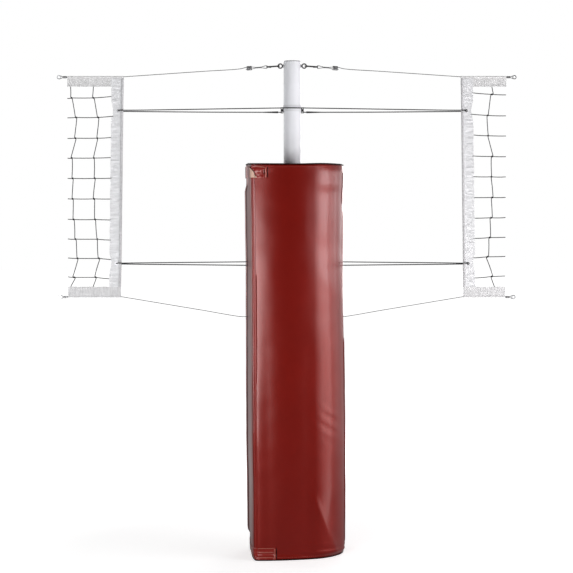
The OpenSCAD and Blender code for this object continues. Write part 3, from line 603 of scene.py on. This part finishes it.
def crown(i, z):
    p = around(i)
    off = sum(high * soft(p.x + aside, p.y, z, size) for high, size, aside in form["lumps"])
    if ridgeAt <= i < frontAt + 40:  # the front rolls back towards its ridge
        rolled = exp(-max(0, p.x - form["rollAt"]) / form["rollWidth"])
        off -= form["rollDeep"] * rolled * smooth((i - ridgeAt) / 5)
    low = smooth((form["lowFrom"] - z) / form["lowOver"])
    if p.x > form["sideFrom"]:
        off += rightCrown(p, z, low)
    if p.x < form["leftFrom"]:
        off += sum(leftCrown(p, z, low))
    if p.y < -60 and p.x > form["sideFrom"]:
        off += sum(cornerFold(p, z))
    if z < form["puckerTop"]:
        off += hemPuckers(p, z)
    if p.x < form["leftFrom"]:  # the straps cross the seam on a flat place, so that their tails can peel
        between = smooth((form["flatHigh"] - z) / 40) * smooth((z - form["flatLow"]) / 40)
        off *= 1 - smooth((form["flatReach"] - abs(p.y)) / 30) * (1 - between)
    return off * smooth(z / 30) * smooth((pad["height"] - z) / 40)


def roundedOff(edge, near):  # how far a rounded edge draws in so near its end
    deep = max(0, edge - near)
    return edge - sqrt(edge ** 2 - deep * deep)


def drawnIn(z):
    return roundedOff(pad["edge"], min(z + pad["edge"] / 3, pad["height"] - z))


def seamGap(z):
    t = min(z - pad["slotLow"], pad["slotHigh"] - z) / pad["slotClose"]
    return pad["seamGap"] + (pad["slotHalf"] - pad["seamGap"]) * smooth(t)


def keptApart(p, side, z):
    far = abs(p.y) + seamGap(z) * max(0, 1 - abs(p.y) / pad["seamReach"])
    p.y = side * (max(far, seamGap(z)) if p.y * side >= 0 else seamGap(z))
    return p


def padPoint(i, out, z):
    return flared(around(i) + outwardAt(i) * (out + crown(i, z)), z)


def innerPoint(i, deep, z):
    p = around(i)
    return flared(p * (1 - deep / p.length), z)


def padLevels(step=13.0):  # closer together where the ends turn in
    low = [0, 0.6, 1.6, 3, 5, 7.5, 10, 14, 20, 28]
    high = [pad["height"] - z for z in (25, 17, 12, 9, 6.5, 4.6, 3, 1.8, 0.9, 0.3, 0)]
    first, last = pad["rim"], pad["height"] - pad["rim"]
    return low + evenly(first, last, round((last - first) / step)) + high


def padHalf(half, first, last, side, body):
    rings = []
    for z in padLevels():
        outer = [keptApart(padPoint(i, -drawnIn(z), z), side, z) for i in range(first, last + 1)]
        inner = [keptApart(innerPoint(i, pad["foam"], z), side, z) for i in range(last, first - 1, -1)]
        rings.append(outer + inner)
    made = keep(loft(rings), half + "Pad", "vinyl", body, replaces=[half + "_pad"], sharp=50)


for half in halves:
    padHalf(*half)
print("pad halves done")

sewn = {
    "ridge": 1.5, "bindingAndShade": 3.9, "piping": 2.3, "pipingAside": 2.4, "seamLow": 68, "seamHigh": 1742,
    "topRow": 16, "bottomRow": 14, "stitch": (5.5, 3.5, 0.9)}


def welt(name, line, body, radius, material="welt"):  # a piped seam on the pad
    return keep(tube(line, plainSection(radius, 10)), name, material, body)


weltLevels = evenly(6, pad["height"] - 6, 180)
welt("ridgeWelt", [padPoint(ridgeAt + 2, 0.4 - drawnIn(z), z) for z in weltLevels], "post", sewn["ridge"])
# dark bindings along the top and bottom edges, which also paint the dark shade at both edges
for where, z, deep in (("Top", pad["height"] - 4.2, 1.6), ("Bottom", 3, 0.4)):
    for half, first, last, side, body in halves:
        line = [keptApart(padPoint(i, -deep, z), side, z) for i in range(first + 1, last)]
        welt(half + where + "Binding", line, body, sewn["bindingAndShade"], "bindingAndShade")

seamLevels = evenly(sewn["seamLow"], sewn["seamHigh"], 170)
# dark piping on both sides of the seam, which paints the shade in the seam's gap
for name, i, side, body in (("front", 0.5, -1, "post"), ("rear", seamAt - 0.8, 1, "rear_half")):
    beside = Vector((0, side * sewn["pipingAside"], 0))
    line = [keptApart(padPoint(i, 1.0, z), side, z) + beside for z in seamLevels]
    welt(name + "SeamShadePiping", line, body, sewn["piping"], "bindingAndShade")


for half, first, last, side, body in halves:  # stitches beside the ridge, then along the top and bottom
    bm, stops = bmesh.new(), range(first + 2, last - 1)
    if half == "front":
        line = [padPoint(ridgeAt - 3, 0.1, z) for z in weltLevels]
        stitchLine(bm, line, [outwardAt(ridgeAt - 3)] * len(line), *sewn["stitch"])
    for z in (pad["height"] - sewn["topRow"], sewn["bottomRow"]):
        stitchLine(bm, [padPoint(i, 0.1, z) for i in stops], [outwardAt(i) for i in stops], *sewn["stitch"])
    keep(bm, half + "PadStitches", "redThread", body)

panel = {
    "low": 1771.0, "high": 1811.0, "notch": 40.5, "clear": 0.8, "edge": 6.0, "gap": 0.6, "notchEnd": 0.04}


def endPanel(half, first, last, side, body):
    rings, end = [], panel["notchEnd"]
    for z in evenly(panel["low"], panel["high"], 14):
        inset = roundedOff(panel["edge"], min(z - panel["low"], panel["high"] - z))
        wall = [innerPoint(i, pad["foam"] + panel["clear"] + inset, z) for i in range(first, last + 1, 2)]
        for p in wall:
            p.y = side * max(side * p.y, panel["gap"] + inset)
        r = panel["notch"] + inset
        notch = [Vector((r * cos(a), side * r * sin(a), z)) for a in evenly(end, pi - end, 24)]
        rings.append(wall + (notch if side < 0 else notch[::-1]))
    made = keep(loft(rings), half + "EndPanel", "vinyl", body, replaces=[half + "_end_panel"], sharp=50)


for half in halves:
    endPanel(*half)


# flat vinyl strips that lie on the pad: hinge leaves, straps and their tails
strips = {
    "lift": 0.7, "thick": 1.7, "tailLift": 2.5, "patchThick": 1.1, "tuck": 0.35, "edge": 2.5, "seam": 0.6,
    "hingeWide": 6, "tailWide": 10, "patchLess": 3, "hinge": ((60, 1010), (1640, 1783))}
topStrap = {"z": (1755, 1809), "end": frontAt + 7, "hem": 5}
bottomStrap = {"z": (5, 60), "end": frontAt + 10, "ribs": (11, 32, 51)}


def strip(name, first, last, zones, side, body, material="vinyl", lift=strips["lift"],
        thick=strips["thick"], gap=0.5, fine=(1, 14), raised=None):
    bm = bmesh.new()
    stops = evenly(first, last, round((last - first) / fine[0]))

    def edge(i, out, z):
        p = padPoint(i, out, z)
        p.y = side * max(side * p.y, gap)
        return p

    for a, b in zones:
        rings = []
        for z in evenly(a, b, max(6, round((b - a) / fine[1]))):
            tuck = strips["tuck"] * thick * (1 - smooth(min(z - a, b - z) / strips["edge"]))
            top = [edge(i, lift + thick - tuck + (raised(i, z) if raised else 0), z) for i in stops[::-1]]
            rings.append([edge(i, lift + tuck, z) for i in stops] + top)
        loft(rings, bm)
    keep(bm, name, material, body, [nodeOf(name)], sharp=50)


wide = strips["hingeWide"]
strip("frontHingeLeaves", hingeAt - wide, hingeAt, strips["hinge"], -1, "post")
strip("rearHingeLeaves", hingeAt, hingeAt + wide, strips["hinge"], 1, "rear_half")


def thinned(i, z, low, high):  # beside the seam, so that the tail clears the strap when it peels
    return -0.8 * (1 - smooth((i - 0.8) / 0.8)) * smooth(min(z - low, high - z) / strips["edge"])


def topRaised(i, z):  # a hem along the top, a groove and a thick border at the end
    end = topStrap["end"]
    border = 1.9 * bump(i, end - 0.9, 0.55) - 0.9 * bump(i, end - 2.1, 0.5)
    hem = 0.9 * bump(z, topStrap["z"][1] - topStrap["hem"], 3)
    shown = smooth((end - i) / 0.4) * smooth((i - 9) / 4)
    return thinned(i, z, *topStrap["z"]) + shown * (hem + border + 0.5 * soft(i * 7, 3, z, 9))


def bottomRaised(i, z):  # three ribs and a stitched end
    end = bottomStrap["end"]
    ribs = 1.3 * sum(bump(z, bottomStrap["z"][0] + up, 2.6) for up in bottomStrap["ribs"])
    border = 1.2 * bump(i, end - 0.8, 0.5)
    shown = smooth((end - i) / 0.4) * smooth((i - 9) / 4)
    ribbed = ribs * smooth((end - 1 - i) / 0.6)
    return thinned(i, z, *bottomStrap["z"]) + shown * (ribbed + border + 0.4 * soft(i * 7, 8, z, 9))


for name, strap, raised in (("top", topStrap, topRaised), ("bottom", bottomStrap, bottomRaised)):
    strip(name + "Strap", 0, strap["end"], [strap["z"]], -1, "post", "strap", gap=strips["seam"],
        fine=(0.25, 1.5), raised=raised)


def roundedSection(radius):  # drawn in at both ends
    def section(done, share):
        r = radius * sqrt(min(1, 8 * share, 8 * (1 - share)) + 0.05)
        return [(a, r) for a in anglesOf(10)]
    return section


def strapEdge(name, points, radius, material):
    keep(tube(curveThrough(points, 3), roundedSection(radius)), name, material)


def upStrap(i, low, high, out, waver=0.0):
    return [padPoint(i + waver * soft(3, i, z, 12), out, z) for z in evenly(low, high, 8)]


def alongStrap(first, last, zFirst, zLast, out):
    return [padPoint(i, out, z) for i, z in zip(evenly(first, last, 16), evenly(zFirst, zLast, 16))]


(low, high), end = topStrap["z"], topStrap["end"]
strapEdge("topStrapBorder", upStrap(end - 0.7, low + 1, high - 4, 3.6, 0.15), 2.6, "trim")
# dark tubes: in the groove they paint its shade, and beside the strap's end they paint the strap's shadow
strapEdge("topStrapGroove", upStrap(end - 1.5, low + 16, high - 14, 2.4), 2.2, "bindingAndShade")
strapEdge("topStrapEnd", upStrap(end + 0.25, low + 2, high - 2, 1.0), 2.2, "bindingAndShade")
strapEdge("topStrapHem", alongStrap(frontAt + 0.4, end - 0.6, high + 1, high - 6, 3.2), 1.9, "trim")
(low, high), end = bottomStrap["z"], bottomStrap["end"]
for n, up in enumerate(bottomStrap["ribs"]):
    strapEdge(f"bottomStrapRib{n}", alongStrap(ridgeAt + 4, end - 1, low + up, low + up, 3.4), 1.5, "trim")
# a dark bound end beside the bottom strap, which paints the strap's shadow
strapEdge("bottomStrapEnd", upStrap(end + 0.25, low + 2, high - 2, 1.0), 2.6, "bindingAndShade")
strapEdge("bottomStrapBorder", upStrap(end - 0.6, low + 2, high - 4, 3.0, 0.15), 2.0, "trim")

fold = {
    "first": ridgeAt - 0.6, "last": frontAt + 1.4, "low": topStrap["z"][0] + 2.5,
    "high": topStrap["z"][1] - 1, "lift": 3.0, "thick": 1.3, "least": 1.5, "creaseEnd": 0.6}


def foldTop(i):
    share = (fold["last"] - i) / (fold["last"] - fold["first"])
    return fold["low"] + fold["least"] + (fold["high"] - fold["low"] - fold["least"]) * share


foldRings = []  # the corner of the strap is turned over and shows the cloth on its back; that beige cloth also paints the highlight where the strap bends over the ridge
for i in evenly(fold["first"], fold["last"], 32):
    top = foldTop(i)
    row = evenly(fold["low"], top, 8)
    stand = [fold["lift"] + 1.4 * bump(z, top, 7) + 0.7 * soft(i * 8, 5, z, 14) for z in row]
    under = [padPoint(i, up, z) for up, z in zip(stand, row)]
    foldRings.append(under + [padPoint(i, up + fold["thick"], z) for up, z in zip(stand[::-1], row[::-1])])
keep(loft(foldRings), "topStrapFold", "backingAndHighlight")
# a dark tube along the fold's edge paints the shadow under the turned corner
creaseStops = evenly(fold["first"] + fold["creaseEnd"], fold["last"] - fold["creaseEnd"], 24)
creaseLine = [padPoint(i, fold["lift"] + 1.2, foldTop(i) + 2.2) for i in creaseStops]
crease = tube(creaseLine, lambda done, share: [(a, 2.5 - 1.6 * share) for a in anglesOf(10)])
keep(crease, "topStrapFoldEdge", "bindingAndShade")

for name, strap, body in (("top", topStrap, "upper_tail"), ("bottom", bottomStrap, "lower_tail")):
    strip(name + "StrapTail", seamAt - strips["tailWide"], seamAt, [strap["z"]], 1, body,
        lift=strips["tailLift"], gap=strips["seam"])
less = strips["patchLess"]
patchZones = [(low + less, high - less) for low, high in (topStrap["z"], bottomStrap["z"])]
strip("loopPatches", seamAt - strips["tailWide"], seamAt - 1, patchZones, 1, "rear_half", "loops",
    thick=strips["patchThick"], gap=1.5)


def strapStitches(name, strap, rows, ends, lift):
    bm = bmesh.new()
    low, high = strap["z"]
    for z in rows:
        stops = range(10, strap["end"])
        stitchLine(bm, [padPoint(i, lift, z) for i in stops], [outwardAt(i) for i in stops], 5, 2.6, 1.0)
    for i in ends:
        line = [padPoint(i, lift, z) for z in evenly(low + 4, high - 4, 8)]
        stitchLine(bm, line, [outwardAt(i)] * 9, 4.5, 1.6, 1.3)
    keep(bm, name, "redThread")


hemLevel = topStrap["z"][1] - topStrap["hem"]
ribLevels = [bottomStrap["z"][0] + up for up in bottomStrap["ribs"]]
strapEnds = [bottomStrap["end"] - back for back in (1.0, 0.5)]
strapStitches("topStrapStitches", topStrap, [hemLevel], [topStrap["end"] - 0.9], 3.8)
strapStitches("bottomStrapStitches", bottomStrap, ribLevels, strapEnds, 3.9)
print("straps and leaves done")


# nets: each column of strings swings from side to side between its knots
leftNet = {"side": -1, "end": 1055.0, "columns": (
        {"at": 932.5, "top": 0, "foot": 6, "in": (4, -18, -15, 1, -2, 3, -3, -14, -19, -3),
            "out": (-4, -25, -19, -3, -7, -4, -8, -16, -27, -10)},
        {"at": 1040.0, "top": 0, "foot": 4, "in": (-1, -22, -18, -1, -5, -5, -9, -17, -27, -7),
            "out": (-8, -29, -25, -7, -11, -11, -15, -24, -32, -19)}),
    "rows": (2140.7, 2048.8, 1951.2, 1857.5, 1761.8, 1664.8, 1567.7, 1474.4, 1383.5, 1293.9)}
rightNet = {"side": 1, "end": 1003.0, "columns": (
        {"at": 934.0, "top": 2, "foot": 19, "in": (9, -14, -14, 9, 3, 10, 7, -1, -10, 10),
            "out": (-3, -20, -15, 1, 1, 2, -4, -9, -21, 2)},),
    "rows": (2157.2, 2058.2, 1962.6, 1864.6, 1768.9, 1671.4, 1575.7, 1481.9, 1391.0, 1297.7)}
cord = {
    "radius": 2.0, "strands": 3, "pitch": 10.0, "above": 2.5, "below": 4, "tilt": 5, "lessTilt": 1.1,
    "knot": ((0.6, 3.2), (-0.7, 3.0), (1.6, 2.6)), "knotCord": 1.7, "knotLean": 0.4}
tapes = {
    "topHigh": 49.0, "bottomHigh": 50.0, "thick": 2.4, "pocket": 3.2, "ease": 0.25, "fold": 1.2,
    "allowance": 3}
hems = {
    "width": 57.0, "low": 1252.0, "high": 2191.0, "lap": 2230.0, "pocket": 6.35, "thick": 2.4, "pinch": 9.0,
    "ease": 0.2, "tighter": 1.2, "overTape": 1.9, "fold": 0.6, "inset": 0.8, "steps": 18, "allowance": 6}
stringSection = laidSection(cord["radius"], cord["strands"], cord["pitch"], 9)


def hemEdge(z):  # the net side of the side hem, drawn in where the ropes pull
    pull = bump(z, ropes["upper"] - 2, 34) + bump(z, ropes["lower"], 34)
    return hemX(z) + hems["width"] - hems["pinch"] * pull + 1.5 * soft(z, 0, 40, 45)


def knotAt(bm, x, y, z, side):
    for turn, size in cord["knot"]:
        before = set(bm.verts)
        upright = Matrix.Translation((size, 0, 0)) @ Matrix.Rotation(pi / 2, 4, "X")
        made = bmesh.ops.create_circle(bm, segments=6, radius=cord["knotCord"], matrix=upright)["verts"]
        rim = list({e for v in made for e in v.link_edges})
        bmesh.ops.spin(bm, geom=made + rim, cent=(0, 0, 0), axis=(0, 0, 1), angle=2 * pi, steps=10,
            use_merge=True)
        ring = [v for v in bm.verts if v not in before]
        lean = Matrix.Rotation(side * turn, 4, "Y") @ Matrix.Rotation(pi * cord["knotLean"], 4, "X")
        bmesh.ops.transform(bm, matrix=Matrix.Translation((x, y, z)) @ lean, verts=ring)


def hangString(bm, points, side):
    tube(curveThrough([(side * p.x, p.y, p.z) for p in points], 4), stringSection, bm)


def hangColumn(bm, knots, data, c, rise):
    side, column = data["side"], data["columns"][c]
    swings = [s for pair in zip(column["in"], column["out"]) for s in pair]
    x = [column["at"] + s for s in [column["top"]] + swings + [column["foot"]]]
    z = [hems["high"] + 2]
    for row, up in zip(data["rows"], rise):
        z += [row + cord["above"] - up / 2, row - cord["below"] - up / 2]
    z.append(hems["low"] - 2)
    for k in range(0, len(x), 2):
        a, b = Vector((x[k], 0, z[k])), Vector((x[k + 1], 0, z[k + 1]))
        bow = 2.2 * soft(c * 50, k * 31, 7, 13)
        stops = (0, 0.12, 0.35, 0.6, 0.85, 1)
        bent = [Vector((bow * sin(pi * t) * 1.3, 0.5 * sin(2 * pi * t), 0)) for t in stops]
        hangString(bm, [a.lerp(b, t) + aside for t, aside in zip(stops, bent)], side)
    for k, row in enumerate(data["rows"]):
        at = [Vector((column["at"] + s[k], 0, row - rise[k] / 2)) for s in (column["in"], column["out"])]
        mid = (at[0] + at[1]) / 2
        through = ((at[0], 3), (mid, 0), (at[1], -4))
        line = [Vector((side * p.x, -0.6, p.z + lift)) for p, lift in through]
        tube(line, plainSection(cord["radius"], 8), knots)
        knotAt(knots, side * mid.x, 0, mid.z, side)


def hangNet(name, data):
    bm, knots, columns = bmesh.new(), bmesh.new(), data["columns"]
    rise = [cord["tilt"] - cord["lessTilt"] * k for k in range(len(data["rows"]))]
    for c in range(len(columns)):
        hangColumn(bm, knots, data, c, rise)
    for k, row in enumerate(data["rows"]):
        stops = [Vector((hemEdge(row) - 6, 0, row + rise[k]))]
        for column in columns:
            swing = (column["in"][k] + column["out"][k]) / 2
            stops.append(Vector((column["at"] + swing, 0, row - rise[k] / 2)))
        stops.append(Vector((data["end"], 0, row - rise[k])))
        for c, (a, b) in enumerate(zip(stops, stops[1:])):
            sag = 1.2 * soft(k * 37, c * 21, 3, 11) - 0.8
            points = [a.lerp(b, t) + Vector((0, 0, sag * 4 * t * (1 - t))) for t in evenly(0, 1, 4)]
            hangString(bm, points, data["side"])
    keep(bm, name, "string", "mast", [nodeOf(name)])
    keep(knots, name + "Knots", "string", "mast")


hangNet("leftNet", leftNet)
hangNet("rightNet", rightNet)
print("nets done")


def tapeProfile(high, down, x, corner, seed):  # pocket round the cable, then doubled cloth
    r, half = tapes["pocket"] + tapes["ease"], tapes["thick"] / 2
    depth = high - tapes["pocket"]
    steps = 12
    pocket = [(r * sin(radians(a)), -r * cos(radians(a))) for a in range(28, 333, 19)]
    edge = [(half + (tapes["fold"] if k > 9 else 0), -depth * (k + 1) / steps) for k in range(steps)]
    free = smooth((x - corner - hems["width"] - 4) / 14)
    turned = []
    for y, z in pocket + [(-y, z) for y, z in edge] + edge[::-1]:
        share = min(1, max(0, -z / depth)) * (0.15 + 0.85 * free)
        folds = 1.6 * soft(x, seed, z * 0.3, 15)
        gathers = 0.7 * sin(x / 1.3 + 2 * soft(x, seed, 0, 40))
        turned.append((y + (folds + gathers) * share, down * z))
    return turned


def layTape(side, name, level, high, down, material):
    end, (cornerX, cornerZ) = cables["ends"][side], cables["corner"][level]
    rings = []
    for x in evenly(cornerX, end, round((end - cornerX) / 2)):
        shrink = 1.2 * soft(x, 5, down, 30)
        profile = tapeProfile(high, down, x, cornerX, 20 * side)
        up = [cornerZ + z + (shrink if abs(z) > high * 0.6 else 0) for _, z in profile]
        rings.append([Vector((side * x, y, z)) for (y, _), z in zip(profile, up)])
    tape = keep(loft(rings), name, material, "mast", [nodeOf(name)], sharp=60)


for side, sideName in sides:
    layTape(side, sideName + "TopTape", 0, tapes["topHigh"], 1, "tape")
    layTape(side, sideName + "BottomTape", 1, tapes["bottomHigh"], -1, "bottomTape")
print("tapes done")


def hemOutline(z):  # across the hem: pocket round the dowel, then doubled cloth
    onTape = smooth((z - hems["high"] + 12) / 10)  # there the hem laps over both faces of the top tape
    r = hems["pocket"] + hems["ease"] - hems["tighter"] * onTape
    half = hems["thick"] / 2 + hems["overTape"] * onTape
    width, first, steps = hemEdge(z) - hemX(z), 2 * r - hems["inset"], hems["steps"]
    pocket = [(r - r * cos(radians(a)), r * sin(radians(a))) for a in range(-160, 161, 16)]
    flat = evenly(first, width, steps)
    front = [(w, half + (hems["fold"] if k >= steps - 2 else 0)) for k, w in enumerate(flat)]
    return pocket + front + [(w, -y) for w, y in front[::-1]], r, width, onTape


def hemRing(z, side):
    outline, r, width, onTape = hemOutline(z)
    ends = smooth((z - hems["low"]) / 6) * smooth((hems["lap"] - z) / 6)
    near = min(1, bump(z, ropes["upper"] - 2, 16) + bump(z, ropes["lower"], 16))
    calm = ends * (1 - near) * (1 - 0.8 * onTape)
    out = []
    for w, y in outline:
        loose = smooth((w - 2 * r) / 10)
        gather = 2.4 * soft(w * 0.2, side * 40, z, 9) + 1.8 * soft(w * 0.5, side * 90, z * 1.3, 17)
        gather += 1.0 * soft(w, side * 10, z, 6) * smooth((width - w) / 20 + 0.4)
        out.append(Vector((side * (hemX(z) + w), y * (0.75 + 0.25 * ends) + gather * loose * calm, z)))
    return out


hemLong = hems["lap"] - hems["low"]
for side, sideName in sides:
    rings = [hemRing(z, side) for z in evenly(hems["low"], hems["lap"], round(hemLong / 3))]
    hem = keep(loft(rings), sideName + "Hem", "hem pocket", "mast", [sideName + "_hem"],
        sharp=60)
    # the faces round the dowel pocket take the darker cloth: painted shade
    for face in hem.data.polygons:
        x, z = abs(face.center.x) * 1000, face.center.z * 1000
        if x < hemX(z) + 2 * hems["pocket"] - 1:
            face.material_index = 1
print("hems done")


# finishes on the parts that stay
snapNodes = [f"{a}_{b}_{c}" for a in ("top", "bottom") for b in ("left", "right") for c in ("snap", "gate")]
dress = {
    "post": ["mast_tube"], "band": ["upper_band", "lower_band"], "cap": ["mast_cap"],
    "anchor": ["base_plate"], "eyelet": ["grommets"], "wood": ["dowels"],
    "zinc": ["base_tube", "clamp_screw", "clamp_tip", "stop_pin", "eye_washers", "eye_nuts", "end_thimbles"],
    "dark": ["clamp_collar", "eye_bolts"] + snapNodes, "pale": ["guide_bush", "slide_bush"],
    "hookBlack": ["rope_lugs", "rope_hooks"], "knob": ["clamp_knob"],
    "sleeve": ["pole_sleeves", "end_sleeves"]}
for material, nodes in dress.items():
    for node in nodes:
        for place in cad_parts[node].material_slots:
            place.material = finish[material]
print("parts dressed")


# floor, backdrop and light
studio = {
    "glow": 0.62, "colour": 0.80, "grain": 0.01, "fill": 0.13, "front": 0.01, "behind": 0.36, "dim": 0.25,
    "near": 1.0, "far": 3.2, "floorSpread": 2.0, "airSpread": 0.35, "radius": 60}
lamps = {  # azimuths, spans in degrees and strengths of each row of soft boxes; they grade its edges
    "left": ((-27, 12, 14), (-17, 8, 10), (-10, 6, 7.5), (-4.5, 5, 3), (1, 6, 1)),
    "right": ((36, 8, 1.5, 0.8), (44, 8, 4, 2.0), (52, 8, 8, 3.4), (69, 26, 12.5, 3.1), (97, 30, 5.5, 0.8),
        (127, 30, 2, 0.3)),
    "leftAim": (-0.12, -0.2), "upperShare": 0.4, "rosy": (1.0, 0.98, 1.0), "warm": (1.0, 0.97, 0.96)}


# white where it is seen; what mirrors it is lit from behind only
def airStrength(tree, aheadOrBehind, ray, spread):
    behind = add(tree, "MapRange", Value=aheadOrBehind, From_Min=-spread, From_Max=spread,
        To_Min=studio["front"], To_Max=studio["behind"])
    mirrored = weighted(tree, behind.outputs[0], ray.outputs["Is Glossy Ray"], 0.0)
    return largest(tree, mirrored, ray.outputs["Is Transmission Ray"])


def stageFinish():
    made = bpy.data.materials.new("studioWhite")
    made.use_nodes = True
    tree = made.node_tree
    tree.nodes.clear()
    place = add(tree, "TexCoord").outputs["Object"]
    tone = add(tree, "ValToRGB", Fac=noiseAt(tree, place, 3.0))
    for stop, level in zip(tone.color_ramp.elements, (studio["colour"] - studio["grain"], studio["colour"])):
        stop.color = (level, level, level, 1)
    ray = add(tree, "LightPath")
    dim = add(tree, "MapRange", Value=ray.outputs["Is Glossy Ray"], To_Min=1.0, To_Max=studio["dim"])
    floorTone = add(tree, "VectorMath", {"operation": "SCALE"}, i0=tone.outputs[0], Scale=dim.outputs[0])
    flat = add(tree, "BsdfDiffuse", Color=floorTone.outputs["Vector"])
    ahead = add(tree, "SeparateXYZ", Vector=place).outputs["Y"]
    away = add(tree, "VectorMath", {"operation": "LENGTH"}, Vector=place)
    spread = add(tree, "MapRange", Value=away.outputs["Value"], From_Min=studio["near"],
        From_Max=studio["far"], To_Min=studio["glow"], To_Max=1.0)
    seen = weighted(tree, ray.outputs["Is Camera Ray"], spread.outputs[0], 0.0)
    power = largest(tree, seen, airStrength(tree, ahead, ray, studio["floorSpread"]))
    glow = add(tree, "Emission", Strength=power)
    total = add(tree, "AddShader", i0=flat.outputs[0], i1=glow.outputs[0])
    end = tree.nodes.new("ShaderNodeOutputMaterial")
    tree.links.new(total.outputs[0], end.inputs["Surface"])
    return made


floorMesh = bmesh.new()
bmesh.ops.create_circle(floorMesh, cap_ends=True, segments=96, radius=studio["radius"])
floorData = bpy.data.meshes.new("studioFloor")
floorMesh.to_mesh(floorData)
floorMesh.free()
floor = placed("studioFloor", floorData)
floorData.materials.append(stageFinish())

world = bpy.data.worlds.new("studioAir")
bpy.context.scene.world = world
world.use_nodes = True
air = world.node_tree
ray = add(air, "LightPath")
ahead = add(air, "SeparateXYZ", Vector=add(air, "TexCoord").outputs["Generated"]).outputs["Y"]
seen = largest(air, ray.outputs["Is Camera Ray"], ray.outputs["Is Glossy Ray"])
diffuseFill = add(air, "Mix", Factor=seen, A=studio["fill"], B=0.0)
strength = largest(air, diffuseFill.outputs[0], airStrength(air, ahead, ray, studio["airSpread"]))
strength = largest(air, strength, ray.outputs["Is Camera Ray"])
air.links.new(strength, air.nodes["Background"].inputs["Strength"])
air.nodes["Background"].inputs["Color"].default_value = (1, 1, 1, 1)


def lampAt(name, place, target, wide, tall, radiance, colour=(1, 1, 1)):
    data = bpy.data.lights.new(name, "AREA")
    data.shape, data.size, data.size_y = "RECTANGLE", wide, tall
    data.energy, data.color = radiance * pi * wide * tall, colour
    lamp = placed(name, data)
    lamp.location = place
    lamp.rotation_euler = (Vector(target) - Vector(place)).to_track_quat("-Z", "Y").to_euler()
    lamp.visible_camera = False


def softBox(name, azimuth, distance, height, degrees, tall, radiance, colour=(1, 1, 1), aim=(0, 0)):
    # azimuth from straight ahead of the pad, to the right; the box spans that many degrees and faces the post
    a = radians(azimuth)
    place = (aim[0] + distance * sin(a), aim[1] - distance * cos(a), height)
    wide = 2 * distance * sin(radians(degrees / 2))
    lampAt(f"{name}{abs(azimuth)}", place, (*aim, height), wide, tall, radiance, colour)


for azimuth, degrees, radiance in lamps["left"]:
    softBox("leftBox", azimuth, 4.0, 0.84, degrees, 1.31, radiance, aim=lamps["leftAim"])
    upper = radiance * lamps["upperShare"]
    softBox("leftUpperBox", azimuth, 4.0, 1.70, degrees, 0.36, upper, aim=lamps["leftAim"])
for azimuth, degrees, upper, lower in lamps["right"]:
    softBox("rightBox", azimuth, 8.0, 1.89, degrees, 1.11, upper, lamps["rosy"])
    softBox("rightLowBox", azimuth, 4.0, 0.66, degrees, 1.28, lower, lamps["warm"])
lampAt("floorBox", (1.9, -0.9, 0.015), (1.9, -0.9, 1), 1.5, 0.8, 3.2, lamps["warm"])
softBox("rearBox", 160, 5.0, 2.2, 29, 2.5, 5)
softBox("rearLeftBox", -124, 5.0, 1.6, 25, 2.2, 2.8)
print("studio done")
